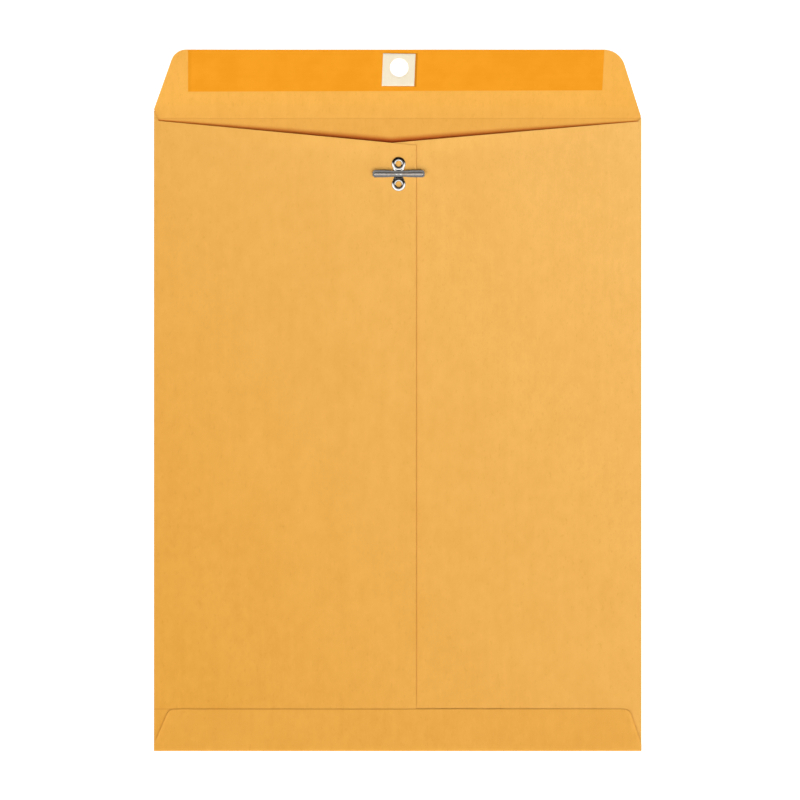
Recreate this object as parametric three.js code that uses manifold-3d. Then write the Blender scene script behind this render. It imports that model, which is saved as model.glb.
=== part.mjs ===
// Clasp envelope, 10 x 13 inches, lying face down with its back up and its flap open.
// Millimetres, +Z up, +Y towards the flap. The origin is under the middle of the open envelope.
import * as THREE from "three";
import { mergeVertices } from "three/addons/utils/BufferGeometryUtils.js";
import Module from "manifold-3d";

const wasm = await Module();
wasm.setup();

// Body of the envelope
const WIDTH = 254;
const HEIGHT = 330.2; // from the bottom fold to the score line
const PAPER = 0.15;
const SIDE_GAP = 0.3; // room in the pocket at the side folds
const MOUTH_RISE = 1.05; // how much more the back stands off at the middle of the mouth
const FOOT_RISE = 0.15; // and at the middle of the bottom fold
const GLUE_FILM = 0.04;
const GLUE_CLEARANCE = 0.02; // each side of a glue film
const GLUE_INSET = 1.5; // from the paper's edge to the glue

// Centre seam, where the left back panel overlaps the right one
const SEAM_EDGE_X = 9.7;
const SEAM_OVERLAP = 19;

// Throat: the shallow V in the top edge of the back
const THROAT_X = -3.1;
const THROAT_DEPTH = 13.3; // below the score line
const THROAT_SHOULDER = 2; // where the slope starts, below the score line
const CORNER_CUT = 1.8; // width of the small cut beside each side fold
const FOLD_TOP = 0.9; // the side folds end this far below the score line

// Bottom flap
const BOTTOM_FLAP_HEIGHT = 22;
const BOTTOM_FLAP_INSET_LEFT = 8;
const BOTTOM_FLAP_INSET_RIGHT = 6.3;
const BOTTOM_SHOULDER = 3.6; // its sides stand straight up to here
const BOTTOM_CORNER_RADIUS = 4.3;
const BOTTOM_REACH = 0.45; // depth of the bottom fold's round, in plan

// Closing flap
const FLAP_HEIGHT = 35.3;
const FLAP_INSET_LEFT = 11.1;
const FLAP_INSET_RIGHT = 11.3;
const FLAP_SHOULDER_LEFT = 4.3; // its left side stands straight up to here
const FLAP_RADIUS_LEFT = 8; // of its free corners
const FLAP_RADIUS_RIGHT = 11.5;
const CREASE_WIDTH = 1.2; // the scored strip, half on each side of the score line
const CLOSED_ANGLE = THREE.MathUtils.degToRad(179.5); // open flat is 0

// Gum band and reinforcing patch, on the flap's inner face
const GUM_THICKNESS = 0.03;
const GUM_HEIGHT = 21.4;
const GUM_LEFT = -109.2;
const GUM_RIGHT = 107.2;
const PATCH_SIDE = 17;
const PATCH_THICKNESS = 0.15;
const PATCH_TURN = THREE.MathUtils.degToRad(-1.6); // it was stuck on a little askew
const PATCH_OFFSET_Y = -1; // from the hole's centre
const HOLE_DIAMETER = 9.6;
const HOLE_X = 0.8;
const HOLE_HEIGHT = 25.9; // above the score line

// Clasp
const CLASP_X = 0.5;
const CLASP_DROP = 29.7; // below the score line
const METAL = 0.3;
const EYELET_SPACING = 10.6;
const EYELET_DIAMETER = 7.2;
const EYELET_BORE = 3;
const EYELET_CREST = 0.6; // above the paper
const CLINCH_DIAMETER = 5.4;
const NECK_WIDTH = 4.2;
const EYELET_FIT = 0.1; // round the barrel, in the paper
const SEAT_CLEARANCE = 0.03; // under the clasp
const FLAP_CLEARANCE = 0.08; // above and below the closed flap
const HOLE_CLEARANCE = 0.15; // from the closed flap's hole to the saddle's stem
const PRONG_LENGTH = 13.5; // from the clasp's centre to a tip
const PRONG_WIDTH = 3.75;
const PRONG_ROOT_WIDTH = 2.8;
const PRONG_TAPER = 2.6; // length over which a prong widens from its root
const PRONG_TIP_RADIUS = 1.3;
const BEND_GAP = 0.1; // at a prong's bending line, to its root and, when it stands, to the saddle
const RIB_RADIUS = 0.8;
const RIB_CLEARANCE = 0.15; // from an upright prong's rib to the saddle's crown
const RIB_FROM_TIP = 0.9;
const UPRIGHT_GAP = 0.6; // between the ribs of the two upright prongs

// Fineness
const COLUMNS = 16; // across the width
const ROWS = 10; // up the height
const FOLD_STEPS = 8; // round a fold
const ARC_STEPS = 6; // round a paper corner
const ROUND_STEPS = 36; // round an eyelet or the hole

// Lines that several pieces share
const halfWidth = WIDTH / 2;
const bottomY = -(HEIGHT + FLAP_HEIGHT) / 2;
const scoreY = bottomY + HEIGHT;
const foldHeight = 2 * PAPER + SIDE_GAP; // a side fold, from face to face
const foldReach = foldHeight / 2;
const foldX = halfWidth - foldReach; // where the side folds begin
const bottomFoldY = bottomY + BOTTOM_REACH; // where the bottom fold begins
const glueGap = GLUE_FILM + 2 * GLUE_CLEARANCE;
const innerSeamX = SEAM_EDGE_X - SEAM_OVERLAP;

const kraft = () => new THREE.MeshStandardMaterial({ color: 0xe9ae5c, roughness: 0.85, metalness: 0 });
const gum = () => new THREE.MeshStandardMaterial({ color: 0xf2a02c, roughness: 0.45, metalness: 0 });
const glue = () => new THREE.MeshStandardMaterial({ color: 0xe8dcb4, roughness: 0.5, metalness: 0 });
const cream = () => new THREE.MeshStandardMaterial({ color: 0xf4e8cc, roughness: 0.8, metalness: 0 });
const steel = () => new THREE.MeshStandardMaterial({ color: 0xc6c6c3, roughness: 0.25, metalness: 1 });

// Height of the back's underside, bowed across the width and flatter towards the bottom fold.
function backUnderside(x, y) {
  const up = (y - bottomFoldY) / (scoreY - bottomFoldY);
  const rise = THREE.MathUtils.lerp(FOOT_RISE, MOUTH_RISE, up);
  return PAPER + SIDE_GAP + rise * (1 - (x / foldX) ** 2);
}

// How much higher a sheet lies that goes over the seam's inner edge, easing down to the side folds.
function seamStep(x) {
  const clear = Math.max(SEAM_EDGE_X, -innerSeamX);
  const ease = THREE.MathUtils.clamp((foldX - Math.abs(x)) / (foldX - clear), 0, 1);
  return (PAPER + glueGap) * ease;
}

const leftPanelTop = (x, y) => backUnderside(x, y) + seamStep(x) + PAPER;

// Depth of the throat's edge below the score line, on a straight line from a side to the V and past it.
function throatDrop(x, side) {
  const shoulderX = side * (foldX - CORNER_CUT);
  if (Math.abs(x) > Math.abs(shoulderX)) {
    const share = (Math.abs(x) - Math.abs(shoulderX)) / CORNER_CUT;
    return THREE.MathUtils.lerp(THROAT_SHOULDER, FOLD_TOP, share);
  }
  const along = (x - shoulderX) / (THROAT_X - shoulderX);
  return THREE.MathUtils.lerp(THROAT_SHOULDER, THROAT_DEPTH, along);
}

// Top edge of the bottom flap: straight shoulders, slanted sides and rounded corners.
function bottomFlapEdge(x) {
  const inset = x < 0 ? BOTTOM_FLAP_INSET_LEFT : BOTTOM_FLAP_INSET_RIGHT;
  const fromSide = halfWidth - Math.abs(x);
  const run = BOTTOM_FLAP_HEIGHT - BOTTOM_SHOULDER;
  const slant = Math.atan2(run, inset);
  const tangent = BOTTOM_CORNER_RADIUS * Math.tan(slant / 2);
  const arcEnd = inset + tangent;
  if (fromSide >= arcEnd) return BOTTOM_FLAP_HEIGHT;
  if (fromSide <= inset - tangent * Math.cos(slant)) return BOTTOM_SHOULDER + (fromSide / inset) * run;
  const down = Math.sqrt(BOTTOM_CORNER_RADIUS ** 2 - (arcEnd - fromSide) ** 2);
  return BOTTOM_FLAP_HEIGHT - BOTTOM_CORNER_RADIUS + down;
}

// Places across the width where a sheet's mesh has a column: even ones, and the given edges.
function columnsBetween(from, to, edges = []) {
  const even = Array.from({ length: COLUMNS + 1 }, (_, i) => -foldX + (2 * foldX * i) / COLUMNS);
  const shared = [innerSeamX, SEAM_EDGE_X, -innerSeamX, -SEAM_EDGE_X, ...edges];
  const inside = [...even, ...shared].filter((x) => x > from + 0.2 && x < to - 0.2);
  return [...new Set([from, ...inside, to])]
    .sort((a, b) => a - b)
    .filter((x, i, all) => i === 0 || x - all[i - 1] > 0.05);
}

const evenSteps = (count) => Array.from({ length: count + 1 }, (_, i) => i / count);

// A closed sheet. place(u, v, side) gives a point of its inner face (side 0) or outer face (side 1).
function sheet(us, vs, place) {
  const positions = [];
  const at = (i, j, side) => (i * vs.length + j) * 2 + side;
  for (const u of us) for (const v of vs) for (const side of [0, 1]) positions.push(...place(u, v, side));
  const faces = [];
  const quad = (a, b, c, d) => faces.push(a, b, c, a, c, d);
  const lastU = us.length - 1;
  const lastV = vs.length - 1;
  for (let i = 0; i < lastU; i++) {
    for (let j = 0; j < lastV; j++) {
      quad(at(i, j, 1), at(i + 1, j, 1), at(i + 1, j + 1, 1), at(i, j + 1, 1));
      quad(at(i, j, 0), at(i, j + 1, 0), at(i + 1, j + 1, 0), at(i + 1, j, 0));
    }
    quad(at(i, 0, 0), at(i + 1, 0, 0), at(i + 1, 0, 1), at(i, 0, 1));
    quad(at(i + 1, lastV, 0), at(i, lastV, 0), at(i, lastV, 1), at(i + 1, lastV, 1));
  }
  for (let j = 0; j < lastV; j++) {
    quad(at(0, j + 1, 0), at(0, j, 0), at(0, j, 1), at(0, j + 1, 1));
    quad(at(lastU, j, 0), at(lastU, j + 1, 0), at(lastU, j + 1, 1), at(lastU, j, 1));
  }
  const geometry = new THREE.BufferGeometry();
  geometry.setAttribute("position", new THREE.Float32BufferAttribute(positions, 3));
  geometry.setIndex(faces);
  return geometry;
}

// A flat sheet of the given outline, lying at height z.
function plate(shape, thickness, z) {
  const options = { depth: thickness, bevelEnabled: false, curveSegments: ROUND_STEPS };
  return new THREE.ExtrudeGeometry(shape, options).translate(0, 0, z);
}

// Between a three.js geometry and a solid that can be joined and cut.
function toSolid(geometry) {
  const bare = geometry.clone();
  bare.deleteAttribute("normal");
  bare.deleteAttribute("uv");
  const merged = mergeVertices(bare, 1e-4);
  const vertProperties = Float32Array.from(merged.attributes.position.array);
  const triVerts = Uint32Array.from(merged.index.array);
  return new wasm.Manifold(new wasm.Mesh({ numProp: 3, vertProperties, triVerts }));
}

function toGeometry(solid) {
  const { vertProperties, triVerts } = solid.getMesh();
  const geometry = new THREE.BufferGeometry();
  geometry.setAttribute("position", new THREE.BufferAttribute(vertProperties, 3));
  geometry.setIndex(new THREE.BufferAttribute(triVerts, 1));
  geometry.computeVertexNormals();
  return geometry;
}

// An upright cylinder with its lowest point at z.
function post(diameter, x, y, z, height) {
  const round = new THREE.CylinderGeometry(diameter / 2, diameter / 2, height, ROUND_STEPS);
  return toSolid(round.rotateX(Math.PI / 2).translate(x, y, z + height / 2));
}

function piece(name, geometry, material) {
  const mesh = new THREE.Mesh(geometry, material);
  mesh.name = name;
  return mesh;
}

// The eyelets' centres, in the envelope's frame.
const claspY = scoreY - CLASP_DROP;
const eyeletYs = [claspY + EYELET_SPACING / 2, claspY - EYELET_SPACING / 2];
const barrelDiameter = EYELET_BORE + METAL;

// A back panel, bowed, with two holes for the eyelets' barrels.
function backPanel(from, to, side, lift) {
  const high = (x) => scoreY - throatDrop(x, side);
  const low = bottomFoldY + GLUE_CLEARANCE;
  const us = columnsBetween(from, to, [THROAT_X, side * (foldX - CORNER_CUT)]);
  const geometry = sheet(us, evenSteps(ROWS), (x, v, face) => {
    const y = THREE.MathUtils.lerp(low, high(x), v);
    return [x, y, backUnderside(x, y) + lift(x) + face * PAPER];
  });
  const pocketTop = SIDE_GAP + MOUTH_RISE + 4 * PAPER + glueGap;
  return eyeletYs.reduce(
    (solid, y) => solid.subtract(post(barrelDiameter + 2 * EYELET_FIT, CLASP_X, y, 0, 2 * pocketTop)),
    toSolid(geometry),
  );
}

// A side fold: half a round tube of paper, from the front to the back panel.
function sideFold(side) {
  const ys = [bottomFoldY + GLUE_CLEARANCE, scoreY - FOLD_TOP];
  const turns = evenSteps(FOLD_STEPS);
  return sheet(side > 0 ? turns.toReversed() : turns, ys, (turn, y, face) => {
    const radius = face ? foldReach : foldReach - PAPER;
    const angle = -Math.PI / 2 + Math.PI * turn;
    return [side * (foldX + radius * Math.cos(angle)), y, foldReach + radius * Math.sin(angle)];
  });
}

// Underside of the bottom flap, which follows the panels that it is glued to.
const bottomFlapUnderside = (x, y) => {
  const within = THREE.MathUtils.clamp(x, -foldX, foldX);
  return backUnderside(within, y) + PAPER + seamStep(within) + glueGap;
};

function bottomFold() {
  const us = columnsBetween(-halfWidth, halfWidth);
  return sheet(us, evenSteps(FOLD_STEPS), (x, turn, face) => {
    const height = bottomFlapUnderside(x, bottomFoldY) + PAPER;
    const angle = -Math.PI / 2 - Math.PI * turn;
    const reach = face ? BOTTOM_REACH : BOTTOM_REACH - PAPER;
    const rise = face ? height / 2 : height / 2 - PAPER;
    return [x, bottomFoldY + reach * Math.cos(angle), height / 2 + rise * Math.sin(angle)];
  });
}

function bottomFlap() {
  const slants = [BOTTOM_FLAP_INSET_LEFT, BOTTOM_FLAP_INSET_RIGHT].flatMap((inset, i) => {
    const slant = Math.atan2(BOTTOM_FLAP_HEIGHT - BOTTOM_SHOULDER, inset);
    const tangent = BOTTOM_CORNER_RADIUS * Math.tan(slant / 2);
    const start = inset - tangent * Math.cos(slant);
    return evenSteps(ARC_STEPS).map((t) => {
      const fromSide = THREE.MathUtils.lerp(start, inset + tangent, t * t);
      return (i ? 1 : -1) * (halfWidth - fromSide);
    });
  });
  const us = columnsBetween(-halfWidth, halfWidth, slants);
  return sheet(us, evenSteps(3), (x, v, face) => {
    const y = THREE.MathUtils.lerp(bottomFoldY, bottomY + bottomFlapEdge(x), v);
    return [x, y, bottomFlapUnderside(x, y) + face * PAPER];
  });
}

// A glue film that follows the sheet under it.
function glueFilm(fromX, toX, fromY, toY, under, rows) {
  return sheet(columnsBetween(fromX, toX), evenSteps(rows), (x, v, face) => {
    const y = THREE.MathUtils.lerp(fromY, toY, v);
    return [x, y, under(x, y) + GLUE_CLEARANCE + face * GLUE_FILM];
  });
}

// The seam's glue ends below the throat and the bottom flap's glue stays inside its outline.
const seamGlue = () =>
  glueFilm(
    innerSeamX + GLUE_INSET,
    SEAM_EDGE_X - GLUE_INSET,
    bottomFoldY + GLUE_INSET,
    eyeletYs[1] - EYELET_DIAMETER / 2 - GLUE_INSET,
    (x, y) => backUnderside(x, y) + PAPER,
    ROWS,
  );

const bottomFlapGlue = () =>
  glueFilm(
    -halfWidth + BOTTOM_FLAP_INSET_LEFT + BOTTOM_CORNER_RADIUS,
    halfWidth - BOTTOM_FLAP_INSET_RIGHT - BOTTOM_CORNER_RADIUS,
    bottomFoldY + BOTTOM_SHOULDER,
    bottomY + BOTTOM_FLAP_HEIGHT - GLUE_INSET,
    leftPanelTop,
    3,
  );

// The closing flap's outline, above the crease, drawn anticlockwise.
function flapOutline() {
  const baseY = scoreY + CREASE_WIDTH / 2;
  const tipY = scoreY + FLAP_HEIGHT;
  const slantedIn = (FLAP_INSET_RIGHT * CREASE_WIDTH) / 2 / FLAP_HEIGHT; // where the right side starts
  const rightBase = new THREE.Vector2(halfWidth - slantedIn, baseY);
  const rightTip = new THREE.Vector2(halfWidth - FLAP_INSET_RIGHT, tipY);
  const leftTip = new THREE.Vector2(-halfWidth + FLAP_INSET_LEFT, tipY);
  const leftShoulder = new THREE.Vector2(-halfWidth, scoreY + FLAP_SHOULDER_LEFT);
  const outline = new THREE.Shape();
  outline.moveTo(-halfWidth, baseY);
  outline.lineTo(rightBase.x, rightBase.y);
  roundCorner(outline, rightBase, rightTip, leftTip, FLAP_RADIUS_RIGHT);
  roundCorner(outline, rightTip, leftTip, leftShoulder, FLAP_RADIUS_LEFT);
  outline.lineTo(leftShoulder.x, leftShoulder.y);
  outline.closePath();
  return outline;
}

// Adds a corner's arc to an outline that turns anticlockwise there.
function roundCorner(outline, before, corner, after, radius) {
  const into = corner.clone().sub(before).normalize();
  const out = after.clone().sub(corner).normalize();
  const turn = Math.acos(into.dot(out));
  const start = corner.clone().addScaledVector(into, -radius * Math.tan(turn / 2));
  const centre = start.clone().add(new THREE.Vector2(-into.y, into.x).multiplyScalar(radius));
  const from = Math.atan2(start.y - centre.y, start.x - centre.x);
  for (const share of evenSteps(ARC_STEPS)) {
    const angle = from + turn * share;
    outline.lineTo(centre.x + radius * Math.cos(angle), centre.y + radius * Math.sin(angle));
  }
}

// The round hole, punched through flap, gum and patch at once.
function withHole(shape, centreX = HOLE_X, centreY = scoreY + HOLE_HEIGHT) {
  const radius = HOLE_DIAMETER / 2;
  const around = Array.from({ length: ROUND_STEPS }, (_, i) => (-2 * Math.PI * i) / ROUND_STEPS);
  const points = around.map(
    (angle) => new THREE.Vector2(centreX + radius * Math.cos(angle), centreY + radius * Math.sin(angle)),
  );
  shape.holes.push(new THREE.Path(points));
  return shape;
}

function rectangle(left, right, low, high) {
  const shape = new THREE.Shape();
  shape.moveTo(left, low);
  shape.lineTo(right, low);
  shape.lineTo(right, high);
  shape.lineTo(left, high);
  shape.closePath();
  return shape;
}

// The patch is turned about the hole, so its outline is drawn round the hole and the mesh is turned.
function patch() {
  const half = PATCH_SIDE / 2;
  const outline = rectangle(-half, half, PATCH_OFFSET_Y - half, PATCH_OFFSET_Y + half);
  const mesh = piece("hole_patch", plate(withHole(outline, 0, 0), PATCH_THICKNESS, 0), cream());
  mesh.position.set(HOLE_X, scoreY + HOLE_HEIGHT, PAPER + GUM_THICKNESS);
  mesh.rotation.z = PATCH_TURN;
  return mesh;
}

// Each prong bends about a line this far from the clasp's centre.
const hingeX = RIB_RADIUS + UPRIGHT_GAP / 2;

// The clasp stands on the highest point of the panel under it. Heights below are above that seat.
const claspTopY = eyeletYs[0] + EYELET_DIAMETER / 2;
const seatZ = leftPanelTop(CLASP_X, claspTopY) + SEAT_CLEARANCE;
const flapInnerStack = PAPER + GUM_THICKNESS + PATCH_THICKNESS;
const shortOfFlat = Math.sin(Math.PI - CLOSED_ANGLE);

// The flap turns about a line over the score, high enough for the closed flap to lie on the eyelets.
const nearestEyelet = scoreY - claspTopY;
const flapHingeZ =
  (seatZ + EYELET_CREST + FLAP_CLEARANCE + flapInnerStack - nearestEyelet * shortOfFlat) / 2;
const closedFlapTop = 2 * flapHingeZ + (CLASP_DROP + PRONG_WIDTH / 2) * shortOfFlat;
const prongZ = closedFlapTop + FLAP_CLEARANCE - seatZ;

// One eyelet, revolved: a domed rim on the paper, a barrel, and its end clinched inside the pocket.
function eyelet(y) {
  const rim = EYELET_DIAMETER / 2;
  const bore = EYELET_BORE / 2;
  const barrel = barrelDiameter / 2;
  const crestRadius = (rim + bore) / 2;
  const clinchTop = backUnderside(CLASP_X, claspY - EYELET_SPACING / 2) - PAPER - seatZ;
  const dome = evenSteps(10).map((t) => {
    const angle = Math.PI * t;
    const radius = crestRadius + ((rim - bore) / 2) * Math.cos(angle);
    return new THREE.Vector2(radius, METAL / 3 + (EYELET_CREST - METAL / 3) * Math.sin(angle));
  });
  const profile = [
    new THREE.Vector2(rim, 0),
    ...dome,
    new THREE.Vector2(bore, clinchTop - METAL),
    new THREE.Vector2(CLINCH_DIAMETER / 2, clinchTop - METAL * 0.8),
    new THREE.Vector2(CLINCH_DIAMETER / 2, clinchTop - METAL * 0.3),
    new THREE.Vector2(barrel + METAL / 3, clinchTop),
    new THREE.Vector2(barrel, clinchTop),
    new THREE.Vector2(barrel, 0),
    new THREE.Vector2(rim, 0),
  ];
  const ring = new THREE.LatheGeometry(profile, ROUND_STEPS);
  return toSolid(ring.rotateX(Math.PI / 2).translate(0, y, 0));
}

// A round-ended rib along X, with its axis at height z.
function rib(radius, fromX, toX, z) {
  const body = new THREE.CapsuleGeometry(radius, toX - fromX - 2 * radius, 6, 16);
  return toSolid(body.rotateZ(Math.PI / 2).translate((fromX + toX) / 2, 0, z));
}

function block(fromX, toX, halfY, fromZ, toZ) {
  const box = new THREE.BoxGeometry(toX - fromX, 2 * halfY, toZ - fromZ);
  return toSolid(box.translate((fromX + toX) / 2, 0, (fromZ + toZ) / 2));
}

// The saddle's stem goes through the closed flap's hole, whose edge lies this far below the score.
const saddleX = hingeX - METAL - BEND_GAP;
const holeChord = Math.abs(HOLE_X - CLASP_X) + saddleX;
const holeFoot = HOLE_HEIGHT + Math.sqrt((HOLE_DIAMETER / 2) ** 2 - holeChord ** 2);
const stemHalf = Math.min(PRONG_ROOT_WIDTH / 2, holeFoot - HOLE_CLEARANCE - CLASP_DROP);

// Both eyelets, the neck between them, and the stem with the saddle that carries the prongs' roots.
function claspBase() {
  const ys = [EYELET_SPACING / 2, -EYELET_SPACING / 2];
  const neck = toSolid(plate(rectangle(-NECK_WIDTH / 2, NECK_WIDTH / 2, ys[1], ys[0]), METAL, 0));
  const halfY = PRONG_ROOT_WIDTH / 2;
  const stem = block(-saddleX, saddleX, stemHalf, METAL / 2, prongZ + METAL);
  const saddle = block(-saddleX, saddleX, halfY, prongZ, prongZ + METAL);
  const crown = rib(RIB_RADIUS, -saddleX - RIB_RADIUS, saddleX + RIB_RADIUS, prongZ)
    .intersect(block(-saddleX, saddleX, halfY, prongZ, prongZ + 2 * RIB_RADIUS));
  const joined = ys.reduce((solid, y) => solid.add(eyelet(y)), neck.add(stem).add(saddle).add(crown));
  return ys.reduce(
    (solid, y) => solid.subtract(post(EYELET_BORE, 0, y, -seatZ, seatZ + EYELET_CREST)),
    joined,
  );
}

// A prong from its bending line out along X: a tapered strip with a hollow rib pressed into it.
function prong() {
  const root = BEND_GAP;
  const tip = PRONG_LENGTH - hingeX;
  const half = PRONG_WIDTH / 2;
  const rootHalf = PRONG_ROOT_WIDTH / 2;
  const round = PRONG_TIP_RADIUS;
  const outline = new THREE.Shape();
  outline.moveTo(root, -rootHalf);
  outline.lineTo(root + PRONG_TAPER, -half);
  outline.lineTo(tip - round, -half);
  outline.absarc(tip - round, -half + round, round, -Math.PI / 2, 0, false);
  outline.absarc(tip - round, half - round, round, 0, Math.PI / 2, false);
  outline.lineTo(root + PRONG_TAPER, half);
  outline.lineTo(root, rootHalf);
  outline.closePath();
  const options = { depth: METAL, bevelEnabled: false, curveSegments: ARC_STEPS };
  const strip = toSolid(new THREE.ExtrudeGeometry(outline, options));
  const ribFrom = RIB_RADIUS + RIB_CLEARANCE;
  const ribTo = tip - RIB_FROM_TIP;
  const raised = rib(RIB_RADIUS, ribFrom, ribTo, 0);
  const hollow = rib(RIB_RADIUS - METAL, ribFrom + METAL, ribTo - METAL, 0);
  const below = block(-1, tip + 1, PRONG_WIDTH, -2 * RIB_RADIUS, 0);
  return strip.add(raised).subtract(hollow).subtract(below);
}

// The whole clasp, in its own frame: centre between the eyelets, height above its seat.
function clasp() {
  const group = new THREE.Group();
  const base = piece("clasp_base", toGeometry(claspBase()), steel());
  const right = piece("right_prong", toGeometry(prong()), steel());
  right.position.set(hingeX, 0, prongZ);
  const left = piece("left_prong", toGeometry(prong()), steel());
  left.position.set(-hingeX, 0, prongZ);
  left.rotation.z = Math.PI;
  group.add(base, left, right);
  group.position.set(CLASP_X, claspY, seatZ);
  return group;
}

// The folded and glued body.
function body() {
  const group = new THREE.Group();
  const front = rectangle(-foldX, foldX, bottomFoldY, scoreY - CREASE_WIDTH / 2);
  const flat = () => 0;
  group.add(
    piece("front_panel", plate(front, PAPER, 0), kraft()),
    piece("left_side_fold", sideFold(-1), kraft()),
    piece("right_side_fold", sideFold(1), kraft()),
    piece("left_back_panel", toGeometry(backPanel(-foldX, SEAM_EDGE_X, -1, seamStep)), kraft()),
    piece("right_back_panel", toGeometry(backPanel(innerSeamX, foldX, 1, flat)), kraft()),
    piece("seam_glue", seamGlue(), glue()),
    piece("bottom_fold", bottomFold(), kraft()),
    piece("bottom_flap", bottomFlap(), kraft()),
    piece("bottom_flap_glue", bottomFlapGlue(), glue()),
  );
  return group;
}

// The closing flap with its crease, gum and patch.
function closingFlap() {
  const group = new THREE.Group();
  const tipY = scoreY + FLAP_HEIGHT;
  const halfCrease = CREASE_WIDTH / 2;
  const crease = rectangle(-foldX, foldX, scoreY - halfCrease, scoreY + halfCrease);
  const band = withHole(rectangle(GUM_LEFT, GUM_RIGHT, tipY - GUM_HEIGHT, tipY));
  group.add(
    piece("flap_crease", plate(crease, PAPER, 0), kraft()),
    piece("seal_flap", plate(withHole(flapOutline()), PAPER, 0), kraft()),
    piece("gum_band", plate(band, GUM_THICKNESS, PAPER), gum()),
    patch(),
  );
  return group;
}

const envelope = new THREE.Group();
envelope.add(body(), closingFlap(), clasp());

export default envelope;
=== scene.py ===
"""A 10 x 13 inch clasp envelope, lying face down with its back up and its flap open.

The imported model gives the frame. Each sheet is laid flat, cut, folded and pressed in
millimetres, as the paper was, and goes into the scene in metres.
"""

from __future__ import annotations

import logging
import math
from contextlib import contextmanager
from dataclasses import dataclass, replace
from enum import Enum
from typing import Any, Callable, Iterator, Sequence

import bmesh
import bpy
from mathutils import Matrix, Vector


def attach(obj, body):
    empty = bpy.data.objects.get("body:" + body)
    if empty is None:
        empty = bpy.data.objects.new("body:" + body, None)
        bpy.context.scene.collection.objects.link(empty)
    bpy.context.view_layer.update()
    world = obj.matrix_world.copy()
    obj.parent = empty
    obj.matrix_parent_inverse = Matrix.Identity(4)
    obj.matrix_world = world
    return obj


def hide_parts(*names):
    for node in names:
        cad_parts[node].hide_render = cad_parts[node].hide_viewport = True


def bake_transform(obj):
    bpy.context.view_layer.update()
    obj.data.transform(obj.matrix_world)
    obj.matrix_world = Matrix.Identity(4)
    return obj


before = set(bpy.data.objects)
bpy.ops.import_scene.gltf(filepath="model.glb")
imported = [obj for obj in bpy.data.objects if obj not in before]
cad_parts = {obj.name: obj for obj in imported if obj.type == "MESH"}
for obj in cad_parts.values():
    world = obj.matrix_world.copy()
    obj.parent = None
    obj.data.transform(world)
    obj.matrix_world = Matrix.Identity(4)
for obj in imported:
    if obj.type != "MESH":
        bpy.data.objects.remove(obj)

log = logging.getLogger("clasp_envelope")

MM = 0.001  # one millimetre, in metres
MERGE = 1e-4  # points closer than this are one point, in millimetres
NEAR = 0.01  # what lies closer than this to a line is on it
TINY = 1e-9
CORNER_CUTS = 10  # straight cuts that round a corner
PLACE = "place"  # attribute with each point's place at rest, which patterns read
WHITE = (1.0, 1.0, 1.0, 1.0)

Point = tuple[float, float]
Colour = tuple[float, float, float, float]
Where = Callable[[Vector], bool]


class Element(Enum):
    """What is picked in edit mode."""

    VERT = "verts"
    EDGE = "edges"
    FACE = "faces"


class Side(Enum):
    """Which half of the envelope a piece belongs to; the value is the sign of its X."""

    LEFT = -1
    RIGHT = 1


class Socket(Enum):
    """Kinds of socket on a node group."""

    COLOUR = "NodeSocketColor"
    VALUE = "NodeSocketFloat"
    VECTOR = "NodeSocketVector"


def everywhere(_: Vector) -> bool:
    """Accepts every place."""
    return True


def lerp(low: float, high: float, share: float) -> float:
    """Returns the value that lies a share of the way from low to high."""
    return low + (high - low) * share


def clamp(value: float, low: float = 0.0, high: float = 1.0) -> float:
    """Returns the value, kept between low and high."""
    return max(low, min(high, value))


def ease(share: float) -> float:
    """Returns a share that starts and ends level."""
    share = clamp(share)
    return share * share * (3 - 2 * share)


def seen(red: float, green: float, blue: float) -> Colour:
    """Turns a colour as a screen shows it into linear light.

    Args:
        red: red, 0 to 255.
        green: green, 0 to 255.
        blue: blue, 0 to 255.

    Returns:
        The linear colour with full alpha.
    """
    parts = (value / 255 for value in (red, green, blue))
    r, g, b = (v / 12.92 if v <= 0.04045 else ((v + 0.055) / 1.055) ** 2.4 for v in parts)
    return (r, g, b, 1.0)


# The bench


def draw_out(step: Sequence[float]) -> None:
    """Extrudes what is picked in edit mode, and moves it by a step."""
    bpy.ops.mesh.extrude_region_move(TRANSFORM_OT_translate={"value": step})


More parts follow.
